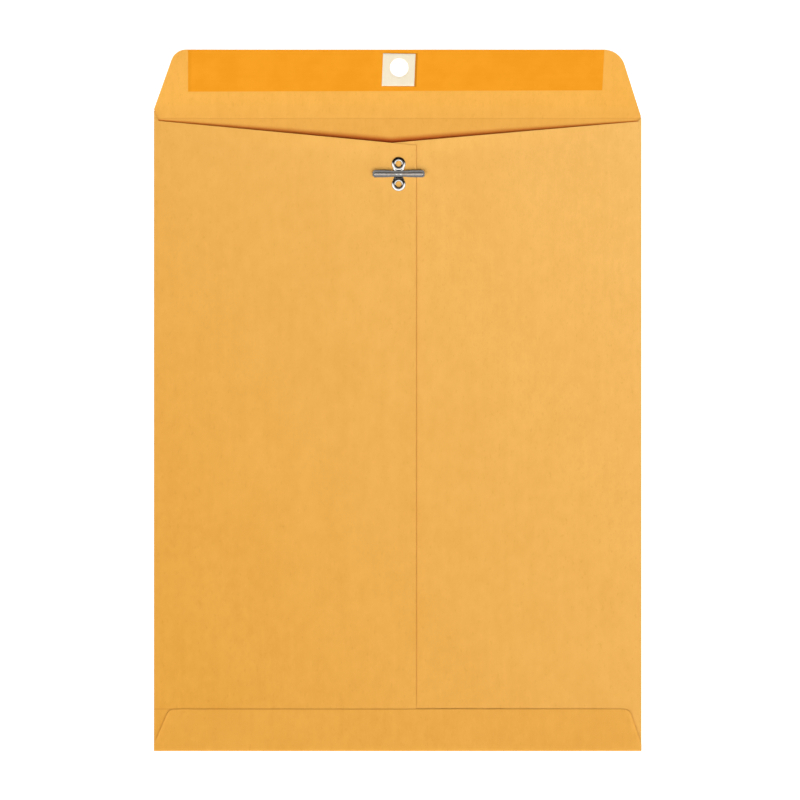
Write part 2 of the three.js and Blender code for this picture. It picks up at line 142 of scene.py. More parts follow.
class Workpiece:
    """A piece on the bench, worked in millimetres with the modelling operators."""

    def __init__(self, name: str, add: Callable[..., Any], **settings: Any) -> None:
        """Adds a primitive, with nothing else selected.

        Args:
            name: the piece's name in the scene.
            add: the operator that adds the primitive.
            **settings: the primitive's settings.
        """
        bpy.ops.object.select_all(action="DESELECT")
        add(**settings)
        self.object = bpy.context.object
        self.object.name = self.object.data.name = name

    @classmethod
    def sheet(cls, name: str, low: Point, high: Point, cell: Point) -> Workpiece:
        """Lays a rectangle of paper that is divided into cells.

        Args:
            name: the piece's name.
            low: its lowest corner.
            high: its highest corner.
            cell: width and height of a cell, about.

        Returns:
            The sheet, flat at height 0 and facing up.
        """
        columns, rows = (max(1, round((b - a) / c)) for a, b, c in zip(low, high, cell))
        grid = bpy.ops.mesh.primitive_grid_add
        piece = cls(name, grid, x_subdivisions=columns, y_subdivisions=rows, size=1)
        with piece.edit(Element.VERT):
            size = (high[0] - low[0], high[1] - low[1], 1)
            bpy.ops.transform.resize(value=size, center_override=(0, 0, 0))
            middle = ((low[0] + high[0]) / 2, (low[1] + high[1]) / 2, 0)
            bpy.ops.transform.translate(value=middle)
        return piece

    def activate(self) -> None:
        """Makes this the only selected object, and the active one."""
        bpy.ops.object.select_all(action="DESELECT")
        self.object.select_set(True)
        bpy.context.view_layer.objects.active = self.object

    def settle(self) -> None:
        """Puts the object's own place and scale into its mesh."""
        self.activate()
        bpy.ops.object.transform_apply(location=True, rotation=True, scale=True)

    @contextmanager
    def edit(self, element: Element, where: Where = everywhere) -> Iterator[None]:
        """Opens edit mode with part of the mesh picked, and leaves it afterwards.

        Args:
            element: points, edges or faces.
            where: accepts the middle of what is to be picked.

        Yields:
            Nothing; the operators inside the block work on what is picked.
        """
        self.activate()
        bpy.ops.object.mode_set(mode="EDIT")
        bpy.ops.mesh.select_mode(type=element.name)
        bpy.ops.mesh.select_all(action="DESELECT")
        cage = bmesh.from_edit_mesh(self.object.data)
        for part in getattr(cage, element.value):
            corners = [part.co] if element is Element.VERT else [v.co for v in part.verts]
            if where(sum(corners, Vector()) / len(corners)):
                part.select_set(True)
        cage.select_flush_mode()
        bmesh.update_edit_mesh(self.object.data)
        yield
        bpy.ops.object.mode_set(mode="OBJECT")

    def modify(self, kind: str, **settings: Any) -> None:
        """Adds a modifier and applies it.

        Args:
            kind: the modifier's type.
            **settings: its settings.
        """
        modifier = self.object.modifiers.new(kind.lower(), kind)
        for name, value in settings.items():
            setattr(modifier, name, value)
        self.activate()
        bpy.ops.object.modifier_apply(modifier=modifier.name)

    def soften(self, width: float, segments: int = 2, **settings: Any) -> None:
        """Rounds the sharp edges a little."""
        self.modify("BEVEL", width=width, segments=segments, limit_method="ANGLE", **settings)

    def score(self, start: Point, end: Point, where: Where = everywhere) -> None:
        """Adds a line of points to the mesh, along a line across the sheet.

        Args:
            start: a point of the line.
            end: another one.
            where: accepts the faces that the line may cross.
        """
        across = Vector((end[1] - start[1], start[0] - end[0], 0)).normalized()
        with self.edit(Element.FACE, where):
            bpy.ops.mesh.bisect(plane_co=(*start, 0), plane_no=across, threshold=MERGE)

    def drop(self, where: Where) -> None:
        """Takes the accepted faces away, along lines that the sheet was scored on."""
        with self.edit(Element.FACE, where):
            bpy.ops.mesh.delete(type="FACE")

    def trim(self, point: Point, outward: Point) -> None:
        """Cuts along an upright plane and drops what lies beyond it.

        Args:
            point: a point of the plane.
            outward: the side that is dropped.
        """
        normal = (*Vector(outward).normalized(), 0)
        with self.edit(Element.FACE):
            bpy.ops.mesh.bisect(
                plane_co=(*point, 0), plane_no=normal, clear_outer=True, threshold=MERGE
            )

    def trim_line(self, start: Point, end: Point) -> None:
        """Trims along a line and drops what lies on its right."""
        self.trim(start, (end[1] - start[1], start[0] - end[0]))

    def round_corner(self, before: Point, corner: Point, after: Point, radius: float) -> None:
        """Rounds a corner of a sheet whose outline turns anticlockwise there.

        Args:
            before: the outline's point before the corner.
            corner: the corner.
            after: the outline's point after it.
            radius: the round's radius.
        """
        into = (Vector(corner) - Vector(before)).normalized()
        out = (Vector(after) - Vector(corner)).normalized()
        turn = into.angle(out)
        start = Vector(corner) - into * radius * math.tan(turn / 2)
        centre = start + Vector((-into.y, into.x)) * radius
        first = math.atan2(-into.x, into.y)
        for step in range(CORNER_CUTS):
            angle = first + turn * (step + 0.5) / CORNER_CUTS
            outward = Vector((math.cos(angle), math.sin(angle)))
            self.trim(tuple(centre + outward * radius), tuple(outward))

    def press(self, shift: Callable[[Vector], Sequence[float]]) -> None:
        """Moves every point, with a Displace modifier for each axis.

        Args:
            shift: gives how far a point moves along X, Y and Z.
        """
        moves = [shift(vertex.co) for vertex in self.object.data.vertices]
        for axis, letter in enumerate("XYZ"):
            along = [move[axis] for move in moves]
            low, span = min(along), max(along) - min(along)
            if span > TINY:
                group = self.object.vertex_groups.new(name="press")
                for index, value in enumerate(along):
                    group.add([index], (value - low) / span, "REPLACE")
                settings = {"direction": letter, "mid_level": 0.0, "strength": span}
                self.modify("DISPLACE", vertex_group=group.name, **settings)
                self.object.vertex_groups.clear()
            if abs(low) > TINY:
                with self.edit(Element.VERT):
                    bpy.ops.transform.translate(value=[low * (i == axis) for i in range(3)])

    def lift(self, height: Callable[[float, float], float]) -> None:
        """Presses a flat sheet up to a height that depends on the place."""
        self.press(lambda p: (0, 0, height(p.x, p.y)))

    def extend(self, where: Where, by: Sequence[float], rows: int) -> None:
        """Draws an edge of a sheet out, in several rows of cells.

        Args:
            where: accepts the edge.
            by: how far it is drawn out.
            rows: the number of rows.
        """
        with self.edit(Element.EDGE, where):
            for _ in range(rows):
                draw_out([length / rows for length in by])

    def fold(self, where: Where, centre: Sequence[float], turn: float, steps: int) -> None:
        """Folds the accepted edge round an axis along Y; a turn above zero goes from +X to +Z."""
        with self.edit(Element.EDGE, where):
            bpy.ops.mesh.spin(steps=steps, angle=turn, center=centre, axis=(0, 1, 0))

    def close(self) -> None:
        """Merges doubles and turns all faces to one side, of a solid outwards."""
        with self.edit(Element.VERT):
            bpy.ops.mesh.remove_doubles(threshold=MERGE)
            bpy.ops.mesh.normals_make_consistent(inside=False)

    def face_up(self) -> None:
        """Turns an open sheet's faces so that most of them look up."""
        self.close()
        if sum(face.normal.z * face.area for face in self.object.data.polygons) < 0:
            with self.edit(Element.FACE):
                bpy.ops.mesh.flip_normals()

    def thicken(self, thickness: float, outward: bool = True) -> None:
        """Gives an open sheet its thickness.

        The outer side keeps the first material, the inner side takes the second and
        the cut edges the third.

        Args:
            thickness: the sheet's thickness.
            outward: whether it grows along the faces or against them.
        """
        self.face_up()
        self.modify(
            "SOLIDIFY",
            thickness=thickness,
            offset=1.0 if outward else -1.0,
            use_even_offset=True,
            material_offset=1,
            material_offset_rim=2,
        )

    def punch(
        self, centre: Point, diameter: float, low: float, high: float, core: float = 0.0
    ) -> None:
        """Punches a round hole through the piece, or a ring round a core that stays.

        Args:
            centre: the hole's middle.
            diameter: its diameter.
            low: where the punch starts.
            high: where it ends.
            core: diameter of the disc that stays in the middle, or 0.
        """
        round_bar = bpy.ops.mesh.primitive_cylinder_add
        common = {"vertices": 72, "location": (*centre, (low + high) / 2)}
        tools = [
            Workpiece("punch", round_bar, radius=width / 2, depth=depth, **common)
            for width, depth in ((diameter, high - low), (core, 3 * (high - low)))
            if width
        ]
        if core:
            tools[0].modify("BOOLEAN", object=tools[1].object, solver="EXACT")
        self.modify("BOOLEAN", object=tools[0].object, operation="DIFFERENCE", solver="EXACT")
        for tool in tools:
            bpy.data.objects.remove(tool.object)

    def weld(self, other: Workpiece) -> None:
        """Joins another piece to this one as one solid, and uses it up."""
        self.modify("BOOLEAN", object=other.object, operation="UNION", solver="EXACT")
        bpy.data.objects.remove(other.object)

    def done(self, smooth: float = 35.0) -> bpy.types.Object:
        """Shades the piece, brings it to metres and keeps each point's place at rest.

        Args:
            smooth: edges that turn by more than this stay sharp, in degrees.

        Returns:
            The finished object, at the origin.
        """
        with self.edit(Element.VERT):
            bpy.ops.mesh.remove_doubles(threshold=MERGE)
        bpy.ops.object.shade_smooth_by_angle(angle=math.radians(smooth))
        self.object.scale = (MM, MM, MM)
        self.settle()
        mesh = self.object.data
        places = mesh.attributes.new(PLACE, "FLOAT_VECTOR", "POINT")
        places.data.foreach_set("vector", [c for v in mesh.vertices for c in v.co])
        return self.object


# Node groups


class Nodes:
    """Lays nodes in a tree and joins them."""

    def __init__(self, tree: bpy.types.NodeTree) -> None:
        """Empties the tree to build in."""
        self.tree = tree
        tree.nodes.clear()

    def add(self, kind: str, inputs: dict[Any, Any] | None = None, **settings: Any) -> Any:
        """Adds a node.

        Args:
            kind: the node's type, without its ShaderNode prefix.
            inputs: values or sockets for its inputs, by name or number.
            **settings: its properties.

        Returns:
            The node.
        """
        prefix = "" if kind.startswith("NodeGroup") else "ShaderNode"
        node = self.tree.nodes.new(prefix + kind)
        for name, value in settings.items():
            setattr(node, name, value)
        for key, value in (inputs or {}).items():
            if isinstance(value, bpy.types.NodeSocket):
                self.tree.links.new(value, node.inputs[key])
            else:
                node.inputs[key].default_value = value
        return node

    def math(self, operation: str, *values: Any) -> Any:
        """Returns the result of a Math node on up to three values or sockets."""
        return self.add("Math", dict(enumerate(values)), operation=operation).outputs[0]

    def plus(self, first: Any, second: Any) -> Any:
        """Returns a sum."""
        return self.math("ADD", first, second)

    def minus(self, first: Any, second: Any) -> Any:
        """Returns a difference."""
        return self.math("SUBTRACT", first, second)

    def times(self, first: Any, second: Any) -> Any:
        """Returns a product."""
        return self.math("MULTIPLY", first, second)

    def gain(self, value: Any, factor: Any, start: Any) -> Any:
        """Returns a value times a factor, on top of a start."""
        return self.math("MULTIPLY_ADD", value, factor, start)

    def most(self, first: Any, second: Any) -> Any:
        """Returns the larger of two values."""
        return self.math("MAXIMUM", first, second)

    def size(self, value: Any) -> Any:
        """Returns a value without its sign."""
        return self.math("ABSOLUTE", value)

    def mix(self, share: Any, first: Any, second: Any, how: str = "MIX") -> Any:
        """Returns a mix of two colours, by a share from 0 to 1."""
        inputs = {0: share, 6: first, 7: second}
        return self.add("Mix", inputs, data_type="RGBA", blend_type=how).outputs[2]

    def shadow(self, share: Any, colour: Any, filter_colour: Any) -> Any:
        """Returns a colour of which a share has gone through a filter; used for the paper's flecks
        and for the throat's painted shade.
        """
        return self.mix(share, colour, self.mix(1.0, colour, filter_colour, "MULTIPLY"))

    def between(self, value: Any, low: float, high: float, smooth: bool = True) -> Any:
        """Returns a mask that rises from 0 at low to 1 at high."""
        kind = "SMOOTHSTEP" if smooth else "LINEAR"
        inputs = {"Value": value, "From Min": low, "From Max": high}
        return self.add("MapRange", inputs, interpolation_type=kind).outputs[0]

    def place(self) -> Any:
        """Returns each point's place at rest."""
        return self.add("Attribute", attribute_name=PLACE).outputs["Vector"]

    def parts(self, place: Any) -> Any:
        """Returns a place's X, Y and Z."""
        return self.add("SeparateXYZ", {0: place}).outputs

    def stretch(
        self, place: Any, scale: Sequence[float], offset: Sequence[float] = (0, 0, 0)
    ) -> Any:
        """Returns a place that is scaled, and moved, for a pattern."""
        return self.add("Mapping", {"Vector": place, "Scale": scale, "Location": offset}).outputs[0]

    def noise(self, place: Any, scale: float, detail: float = 2.0, rough: float = 0.5) -> Any:
        """Returns a noise value; the scale is in waves to the metre."""
        inputs = {"Vector": place, "Scale": scale, "Detail": detail, "Roughness": rough}
        return self.add("TexNoise", inputs).outputs[0]

    def surface(self, colour: Any, roughness: Any, relief: Any, bump: Point, **more: Any) -> Any:
        """Lays a shader with a bump.

        Args:
            colour: its base colour.
            roughness: its roughness.
            relief: the height that the bump reads.
            bump: the bump's strength, and its depth in metres.
            **more: the shader's other inputs, with _ for each space in a name.

        Returns:
            The shader node.
        """
        inputs = {"Strength": bump[0], "Distance": bump[1], "Height": relief}
        normal = self.add("Bump", inputs).outputs[0]
        inputs = {name.replace("_", " "): value for name, value in more.items()}
        inputs |= {"Base Color": colour, "Roughness": roughness, "Normal": normal}
        return self.add("BsdfPrincipled", inputs)


def values(*names: str) -> dict[str, Socket]:
    """Returns sockets for plain values, by name."""
    return dict.fromkeys(names, Socket.VALUE)


@dataclass(frozen=True)
class Effect:
    """A node group that several finishes share, with a place and other named inputs."""

    name: str
    inputs: dict[str, Socket]
    outputs: dict[str, Socket]
    build: Callable[[Nodes, Any], dict[str, Any]]

    def group(self) -> bpy.types.NodeTree:
        """Returns the group, which is built the first time it is asked for."""
        known = bpy.data.node_groups.get(self.name)
        if known:
            return known
        tree = bpy.data.node_groups.new(self.name, "ShaderNodeTree")
        inputs = {"Place": Socket.VECTOR} | self.inputs
        for sockets, way in ((inputs, "INPUT"), (self.outputs, "OUTPUT")):
            for name, kind in sockets.items():
                tree.interface.new_socket(name=name, in_out=way, socket_type=kind.value)
        nodes = Nodes(tree)
        entry = nodes.add("NodeGroupInput")
        nodes.add("NodeGroupOutput", self.build(nodes, entry.outputs))
        return tree

    def put(self, nodes: Nodes, **inputs: Any) -> Any:
        """Puts the group into a material; a name has _ for each space. Returns its outputs."""
        named = {name.replace("_", " "): value for name, value in inputs.items()}
        return nodes.add("Group", named, node_tree=self.group()).outputs


def build_grain(nodes: Nodes, entry: Any) -> dict[str, Any]:
    """Lays out paper: clouds, streaks along the sheet, fine fibre and flecks.

    Args:
        nodes: the group's nodes.
        entry: its inputs.

    Returns:
        Its outputs by name.
    """
    place = entry["Place"]
    clouds = nodes.noise(place, 35.0, 4.0, 0.6)
    blotches = nodes.noise(nodes.stretch(place, (1.0, 0.7, 1.0), (0.3, 0.1, 0.0)), 190.0, 3.0, 0.6)
    streaks = nodes.noise(nodes.stretch(place, (1.0, 0.04, 1.0)), 330.0, 2.0)
    fibre = nodes.noise(nodes.stretch(place, (1.0, 0.3, 1.0)), 1500.0, 4.0, 0.65)
    flecks = nodes.noise(nodes.stretch(place, (1.0, 0.45, 1.0), (0.7, 0.4, 0.0)), 800.0, 1.0)
    tone = nodes.gain(clouds, 0.4, nodes.times(blotches, 0.6))
    tone = nodes.times(nodes.between(tone, 0.38, 0.62, False), entry["Mottle"])
    lines = nodes.times(nodes.between(streaks, 0.3, 0.7, False), entry["Streaks"])
    fine = nodes.times(nodes.between(fibre, 0.3, 0.7, False), entry["Fibre"])
    share = nodes.plus(nodes.plus(tone, lines), fine)
    shade = nodes.mix(share, WHITE, entry["Shade"])
    colour = nodes.mix(1.0, entry["Base"], shade, "MULTIPLY")
    specks = nodes.times(nodes.between(flecks, 0.64, 0.76), entry["Flecks"])
    colour = nodes.shadow(specks, colour, entry["Shade"])
    relief = nodes.gain(fibre, 0.7, nodes.times(blotches, 0.3))
    return {"Colour": colour, "Relief": relief, "Cloud": clouds}


def build_fold_wear(nodes: Nodes, entry: Any) -> dict[str, Any]:
    """Lays out the rubbed line along the side folds and the bottom fold.

    Args:
        nodes: the group's nodes.
        entry: its inputs.

    Returns:
        Its outputs by name.
    """
    inner_line, outer_line = -0.0009, 0.0001  # from the fold, in metres
    x, y, _ = nodes.parts(entry["Place"])
    across = nodes.minus(nodes.size(x), entry["Fold X"])
    nearest = nodes.most(across, nodes.minus(entry["Fold Y"], y))
    rubbed = nodes.between(nearest, inner_line, outer_line)
    broken = nodes.between(nodes.noise(entry["Place"], 900.0, 4.0, 0.7), 0.25, 0.6)
    return {"Mask": nodes.times(nodes.times(rubbed, broken), entry["Amount"])}


def build_join_shades(nodes: Nodes, entry: Any) -> dict[str, Any]:
    """Lays out how near a place lies to the throat, the seam and the bottom flap's edge, as masks
    of painted shade there.

    Args:
        nodes: the group's nodes.
        entry: its inputs.

    Returns:
        Its outputs by name.
    """
    half_width = 0.127  # this and the next ones in metres, from the line that each belongs to
    shade_top, top_fall, shade_foot, shade_full = 0.004, -0.003, -0.012, -0.006
    line, line_edge, hair = 0.0001, 0.0004, 0.0002
    x, y, _ = nodes.parts(entry["Place"])
    off = nodes.minus(x, entry["Throat X"])
    left = nodes.times(off, entry["Left Slope"])
    right = nodes.times(off, entry["Right Slope"])
    above = nodes.minus(y, nodes.plus(nodes.most(left, right), entry["Throat Y"]))
    out = nodes.math("DIVIDE", nodes.size(off), half_width)
    # the throat's painted shade reaches further near the V, and grows deeper there
    reach = nodes.gain(nodes.math("POWER", out, 2.0), top_fall, shade_top)
    deep = nodes.math("POWER", nodes.minus(1.0, out), 3.0)
    throat = nodes.times(
        nodes.between(above, reach, hair), nodes.between(above, shade_foot, shade_full)
    )
    # thin painted shade lines where a sheet's edge steps down: beside the seam's edge, beside the
    # left panel's top edge and beside the bottom flap's top edge
    beside = nodes.minus(x, entry["Seam X"])
    along = nodes.minus(y, entry["Seam Foot"])
    below = nodes.minus(y, nodes.plus(left, entry["Throat Y"]))
    ends = nodes.times(nodes.between(along, 0.0, 0.0005), nodes.between(below, hair, -hair))
    seam = nodes.times(nodes.between(nodes.size(beside), line_edge, line), ends)
    top_ends = nodes.times(nodes.between(off, 0.002, 0.004), nodes.between(beside, hair, 0.0))
    top = nodes.times(nodes.between(nodes.size(below), line_edge, line), top_ends)
    foot = nodes.times(
        nodes.between(nodes.size(along), 0.0003, line), nodes.between(x, entry["Seam X"], 0.0)
    )
    return {"Throat": throat, "Deep": deep, "Seam": nodes.most(seam, top), "Foot": foot}


def build_scratches(nodes: Nodes, entry: Any) -> dict[str, Any]:
    """Lays out the rolling lines and handling scratches of bright metal.

    Args:
        nodes: the group's nodes.
        entry: its inputs.

    Returns:
        Its outputs by name.
    """
    place = entry["Place"]
    rolled = nodes.noise(nodes.stretch(place, (0.06, 1.0, 1.0)), 9000.0, 3.0, 0.6)
    smudge = nodes.noise(place, 700.0, 3.0, 0.55)
    pits = nodes.noise(place, 5200.0, 2.0, 0.6)
    dull = nodes.times(nodes.between(smudge, 0.35, 0.7), entry["Amount"])
    return {"Dull": dull, "Relief": nodes.gain(rolled, 0.7, nodes.times(pits, 0.3))}


GRAIN = Effect(
    "Paper grain",
    {"Base": Socket.COLOUR, "Shade": Socket.COLOUR}
    | values("Mottle", "Streaks", "Fibre", "Flecks"),
    {"Colour": Socket.COLOUR} | values("Relief", "Cloud"),
    build_grain,
)
FOLD_WEAR = Effect(
    "Fold wear", values("Fold X", "Fold Y", "Amount"), values("Mask"), build_fold_wear
)
JOIN_SHADES = Effect(
    "Paper joins",
    values("Throat X", "Throat Y", "Left Slope", "Right Slope", "Seam X", "Seam Foot"),
    values("Throat", "Deep", "Seam", "Foot"),
    build_join_shades,
)
SCRATCHES = Effect(
    "Metal scratches", values("Amount"), values("Dull", "Relief"), build_scratches
)


# The envelope's lines


@dataclass(frozen=True)
class Blank:
    """Lines that all the sheets share, in millimetres and as the part's source has them."""

    width: float = 254.0
    height: float = 330.2
    flap_height: float = 35.3
    paper: float = 0.15
    side_gap: float = 0.3
    mouth_rise: float = 1.05
    foot_rise: float = 0.15
    glue_gap: float = 0.08
    glue_clearance: float = 0.02
    seam_edge_x: float = 9.7
    inner_seam_x: float = -9.3
    bottom_reach: float = 0.45
    crease_half: float = 0.6
    throat_x: float = -3.1
    throat_depth: float = 13.5  # 0.2 more than in the part's source, for the lip's curl
    clasp_x: float = 0.5
    clasp_drop: float = 29.7
    eyelet_spacing: float = 10.6
    groove_drop: float = 0.4  # of the pressed groove below the line that the flap folds on
    ripple_height: float = 0.07  # of the paper's slight waves
    foot_calm: float = 40.0  # how far from the foot, and from the clasp, they are weaker
    clasp_calm: float = 16.0
    bottom_flap_height: float = 22.0
    free_edge: float = 1.5  # width of a glued sheet's edge that has no glue under it
    free_lift: float = 0.4  # how far that edge stands up
    free_run: float = 8.0  # length over which the seam's edge rises from the bottom flap
    left_shoulder: Point = (-124.5, 1.9)  # the throat's slope starts here, so far below the score
    right_shoulder: Point = (125.2, 2.2)
    lip_reach: float = 7.0  # width of the throat's lip
    lip_rise: float = 0.45
    flap_wave: float = 0.12  # how far the open flap has lifted in waves, and at its corners
    corner_curl: float = 0.22
    curl_start: float = 3.0  # from the score line

    @property
    def half_width(self) -> float:
        """Half the envelope's width."""
        return self.width / 2

    @property
    def bottom_y(self) -> float:
        """The bottom fold's outermost line."""
        return -(self.height + self.flap_height) / 2

    @property
    def score_y(self) -> float:
        """The line that the flap folds on."""
        return self.bottom_y + self.height

    @property
    def groove_y(self) -> float:
        """The middle of the pressed groove."""
        return self.score_y - self.groove_drop

    @property
    def tip_y(self) -> float:
        """The flap's free edge."""
        return self.score_y + self.flap_height

    @property
    def fold_reach(self) -> float:
        """The side folds' outer radius."""
        return (2 * self.paper + self.side_gap) / 2

    @property
    def fold_x(self) -> float:
        """Where the side folds begin."""
        return self.half_width - self.fold_reach

    @property
    def bottom_fold_y(self) -> float:
        """Where the bottom fold begins."""
        return self.bottom_y + self.bottom_reach

    @property
    def clasp_y(self) -> float:
        """The clasp's middle."""
        return self.score_y - self.clasp_drop

    def ripple(self, x: float, y: float) -> float:
        """Returns the glued sheets' slight wave, which dies out at the folds and the clasp."""
        wave = 0.6 * math.sin(x / 11.3 + y / 30.0) + 0.4 * math.sin(y / 13.2 - x / 41.0 + 1.3)
        sides = 1 - (x / self.fold_x) ** 2
        foot = ease((y - self.bottom_fold_y) / self.foot_calm)
        near = math.hypot(x - self.clasp_x, y - self.clasp_y) / self.clasp_calm
        return self.ripple_height * wave * sides * foot * (1 - math.exp(-near * near))

    @property
    def slopes(self) -> Point:
        """How steeply the throat's edge climbs from the V to the left and to the right."""
        ends = (self.left_shoulder, self.right_shoulder)
        left, right = ((self.throat_depth - drop) / (x - self.throat_x) for x, drop in ends)
        return (left, right)

    def throat_edge(self, x: float) -> float:
        """Returns the height on the sheet of the throat's edge."""
        off = x - self.throat_x
        return self.score_y - self.throat_depth + max(slope * off for slope in self.slopes)

    def back_underside(self, x: float, y: float) -> float:
        """Returns the height of the back's underside, bowed across and flatter at the foot."""
        up = (y - self.bottom_fold_y) / (self.score_y - self.bottom_fold_y)
        lip = self.lip_rise * ease(1 - (self.throat_edge(x) - y) / self.lip_reach)
        rise = lerp(self.foot_rise, self.mouth_rise, up) + lip
        bow = rise * (1 - (x / self.fold_x) ** 2)
        return self.paper + self.side_gap + bow + self.ripple(x, y)

    def seam_step(self, x: float) -> float:
        """Returns how much higher a sheet lies that goes over the seam's inner edge."""
        share = clamp((self.fold_x - abs(x)) / (self.fold_x - self.seam_edge_x))
        return (self.paper + self.glue_gap) * share

    def left_underside(self, x: float, y: float) -> float:
        """Returns the height of the left back panel's underside."""
        return self.back_underside(x, y) + self.seam_step(x)

    def bottom_flap_underside(self, x: float, y: float) -> float:
        """Returns the height of the bottom flap's underside."""
        within = clamp(x, -self.fold_x, self.fold_x)
        return self.left_underside(within, y) + self.paper + self.glue_gap

    def seam_lift(self, x: float, y: float) -> float:
        """Returns how far the seam's free edge has come up beyond its glue."""
        out = ease((x - self.seam_edge_x + self.free_edge) / self.free_edge)
        up = (y - self.bottom_y - self.bottom_flap_height) / self.free_run
        return self.free_lift * out * ease(up)

    def flap_curl(self, x: float, y: float) -> float:
        """Returns how far the open flap has lifted off the table, most at its free corners."""
        start = self.curl_start
        out = ease((y - self.score_y - start) / (self.flap_height - start))
        wave = 0.5 + 0.3 * math.sin(x / 23.0 + 0.6) + 0.2 * math.sin(x / 9.7 + y / 40)
        corner = (abs(x) / self.half_width) ** 4
        return out * (self.flap_wave * wave + self.corner_curl * corner)


# Finishes


@dataclass(frozen=True)
class Finish:
    """A finish that is made into a material once."""

    name: str

    def material(self) -> bpy.types.Material:
        """Returns the finish's material, which is made the first time it is asked for."""
        known = bpy.data.materials.get(self.name)
        if known:
            return known
        made = bpy.data.materials.new(self.name)
        made.use_nodes = True
        nodes = Nodes(made.node_tree)
        shader = self.lay(nodes)
        nodes.add("OutputMaterial", {"Surface": shader.outputs[0]})
        return made

    def lay(self, nodes: Nodes) -> Any:
        """Lays the material's nodes and returns its shader node."""
        raise NotImplementedError


@dataclass(frozen=True)
class Kraft(Finish):
    """Golden kraft paper, with its fibre, worn folds and pressed score line, and painted shade in
    the throat, along the score and beside the seam and the bottom flap's edge.
    """

    low: Colour  # colour at one end of the sheet's slow change, and at the other
    high: Colour
    start: float  # share of the high colour in the middle of the sheet
    across: float  # gain in that share to the right, in each metre
    up: float  # and towards the flap
    shade: Colour = (0.92, 0.88, 0.78, 1.0)
    worn: Colour = seen(208, 170, 108)
    # colour of the score line, pressed fibre with painted shade of its groove, and of the painted
    # shade lines at the seam and the bottom flap
    crushed_and_shade: Colour = seen(196, 124, 44)
    throat_shade_tint: Colour = (0.8, 0.38, 0.12, 1.0)  # painted shade under the throat's lip, red-brown like light that bounced between the sheets
    throat_shade: float = 0.0  # how strong that painted shade is in the throat
    seam: float = 0.0  # how dark the painted shade line is beside the seam's edge, and beside the bottom flap's edge
    foot: float = 0.0
    wear: float = 0.4
    roughness: float = 0.72
    uneven: float = 0.16  # spread of the roughness
    pressed: float = 0.2  # how dark the score line is, pressed fibre with painted shade of its groove
    score_half: Point = (0.0006, 0.0001)  # where its edge starts and ends, in metres
    seam_shade_line: float = 0.1  # how far the seam's painted shade line lies beyond its edge, in millimetres

    def tint(self, nodes: Nodes, along: Any) -> Any:
        """Lays the sheet's slow change of colour.

        Args:
            nodes: the material's nodes.
            along: the place's X, Y and Z.

        Returns:
            The colour before the grain.
        """
        share = nodes.gain(along[0], self.across, self.start)
        share = nodes.gain(along[1], self.up, share)
        return nodes.mix(nodes.between(share, 0.0, 1.0, False), self.low, self.high)

    def lay(self, nodes: Nodes) -> Any:
        """Lays the paper's nodes.

        Args:
            nodes: the material's nodes.

        Returns:
            The shader node.
        """
        blank = Blank()
        place = nodes.place()
        along = nodes.parts(place)
        tint = self.tint(nodes, along)
        amounts = {"Mottle": 0.55, "Streaks": 0.2, "Fibre": 0.3, "Flecks": 0.5}
        grain = GRAIN.put(nodes, Place=place, Base=tint, Shade=self.shade, **amounts)
        wear = FOLD_WEAR.put(
            nodes,
            Place=place,
            Fold_X=blank.half_width * MM,
            Fold_Y=blank.bottom_y * MM,
            Amount=self.wear,
        )
        left_slope, right_slope = blank.slopes
        joins = JOIN_SHADES.put(
            nodes,
            Place=place,
            Throat_X=blank.throat_x * MM,
            Throat_Y=(blank.score_y - blank.throat_depth) * MM,
            Left_Slope=left_slope,
            Right_Slope=right_slope,
            Seam_X=(blank.seam_edge_x + self.seam_shade_line) * MM,
            Seam_Foot=(blank.bottom_y + blank.bottom_flap_height) * MM,
        )
        off_score = nodes.size(nodes.minus(along[1], blank.groove_y * MM))
        score = nodes.between(off_score, *self.score_half)
        # the painted shade that the back's lip casts into the throat, deeper towards the V
        throat_shade = nodes.times(joins["Throat"], self.throat_shade)
        colour = nodes.mix(wear["Mask"], grain["Colour"], self.worn)
        # the score line: pressed fibre, with painted shade of its groove
        colour = nodes.mix(nodes.times(score, self.pressed), colour, self.crushed_and_shade)
        for share in (throat_shade, nodes.times(throat_shade, joins["Deep"])):
            colour = nodes.shadow(share, colour, self.throat_shade_tint)
        # painted shade lines beside the seam's edge and beside the bottom flap's edge
        for mask, amount in ((joins["Seam"], self.seam), (joins["Foot"], self.foot)):
            colour = nodes.mix(nodes.times(mask, amount), colour, self.crushed_and_shade)
        gloss = nodes.gain(grain["Cloud"], self.uneven, self.roughness - self.uneven / 2)
        bump = (0.5, 0.00002)
        return nodes.surface(colour, gloss, grain["Relief"], bump, Specular_IOR_Level=0.25)


@dataclass(frozen=True)
class CutEdge(Finish):
    """The cut edge of kraft paper, where the fibres stand open."""

    colour: Colour = seen(216, 158, 80)
    dark: Colour = seen(188, 128, 54)
    roughness: float = 0.9

    def lay(self, nodes: Nodes) -> Any:
        """Lays the edge's nodes.

        Args:
            nodes: the material's nodes.

        Returns:
            The shader node.
        """
        torn = nodes.noise(nodes.place(), 4200.0, 3.0, 0.7)
        colour = nodes.mix(nodes.between(torn, 0.3, 0.7), self.colour, self.dark)
        return nodes.surface(colour, self.roughness, torn, (0.6, 0.00003))


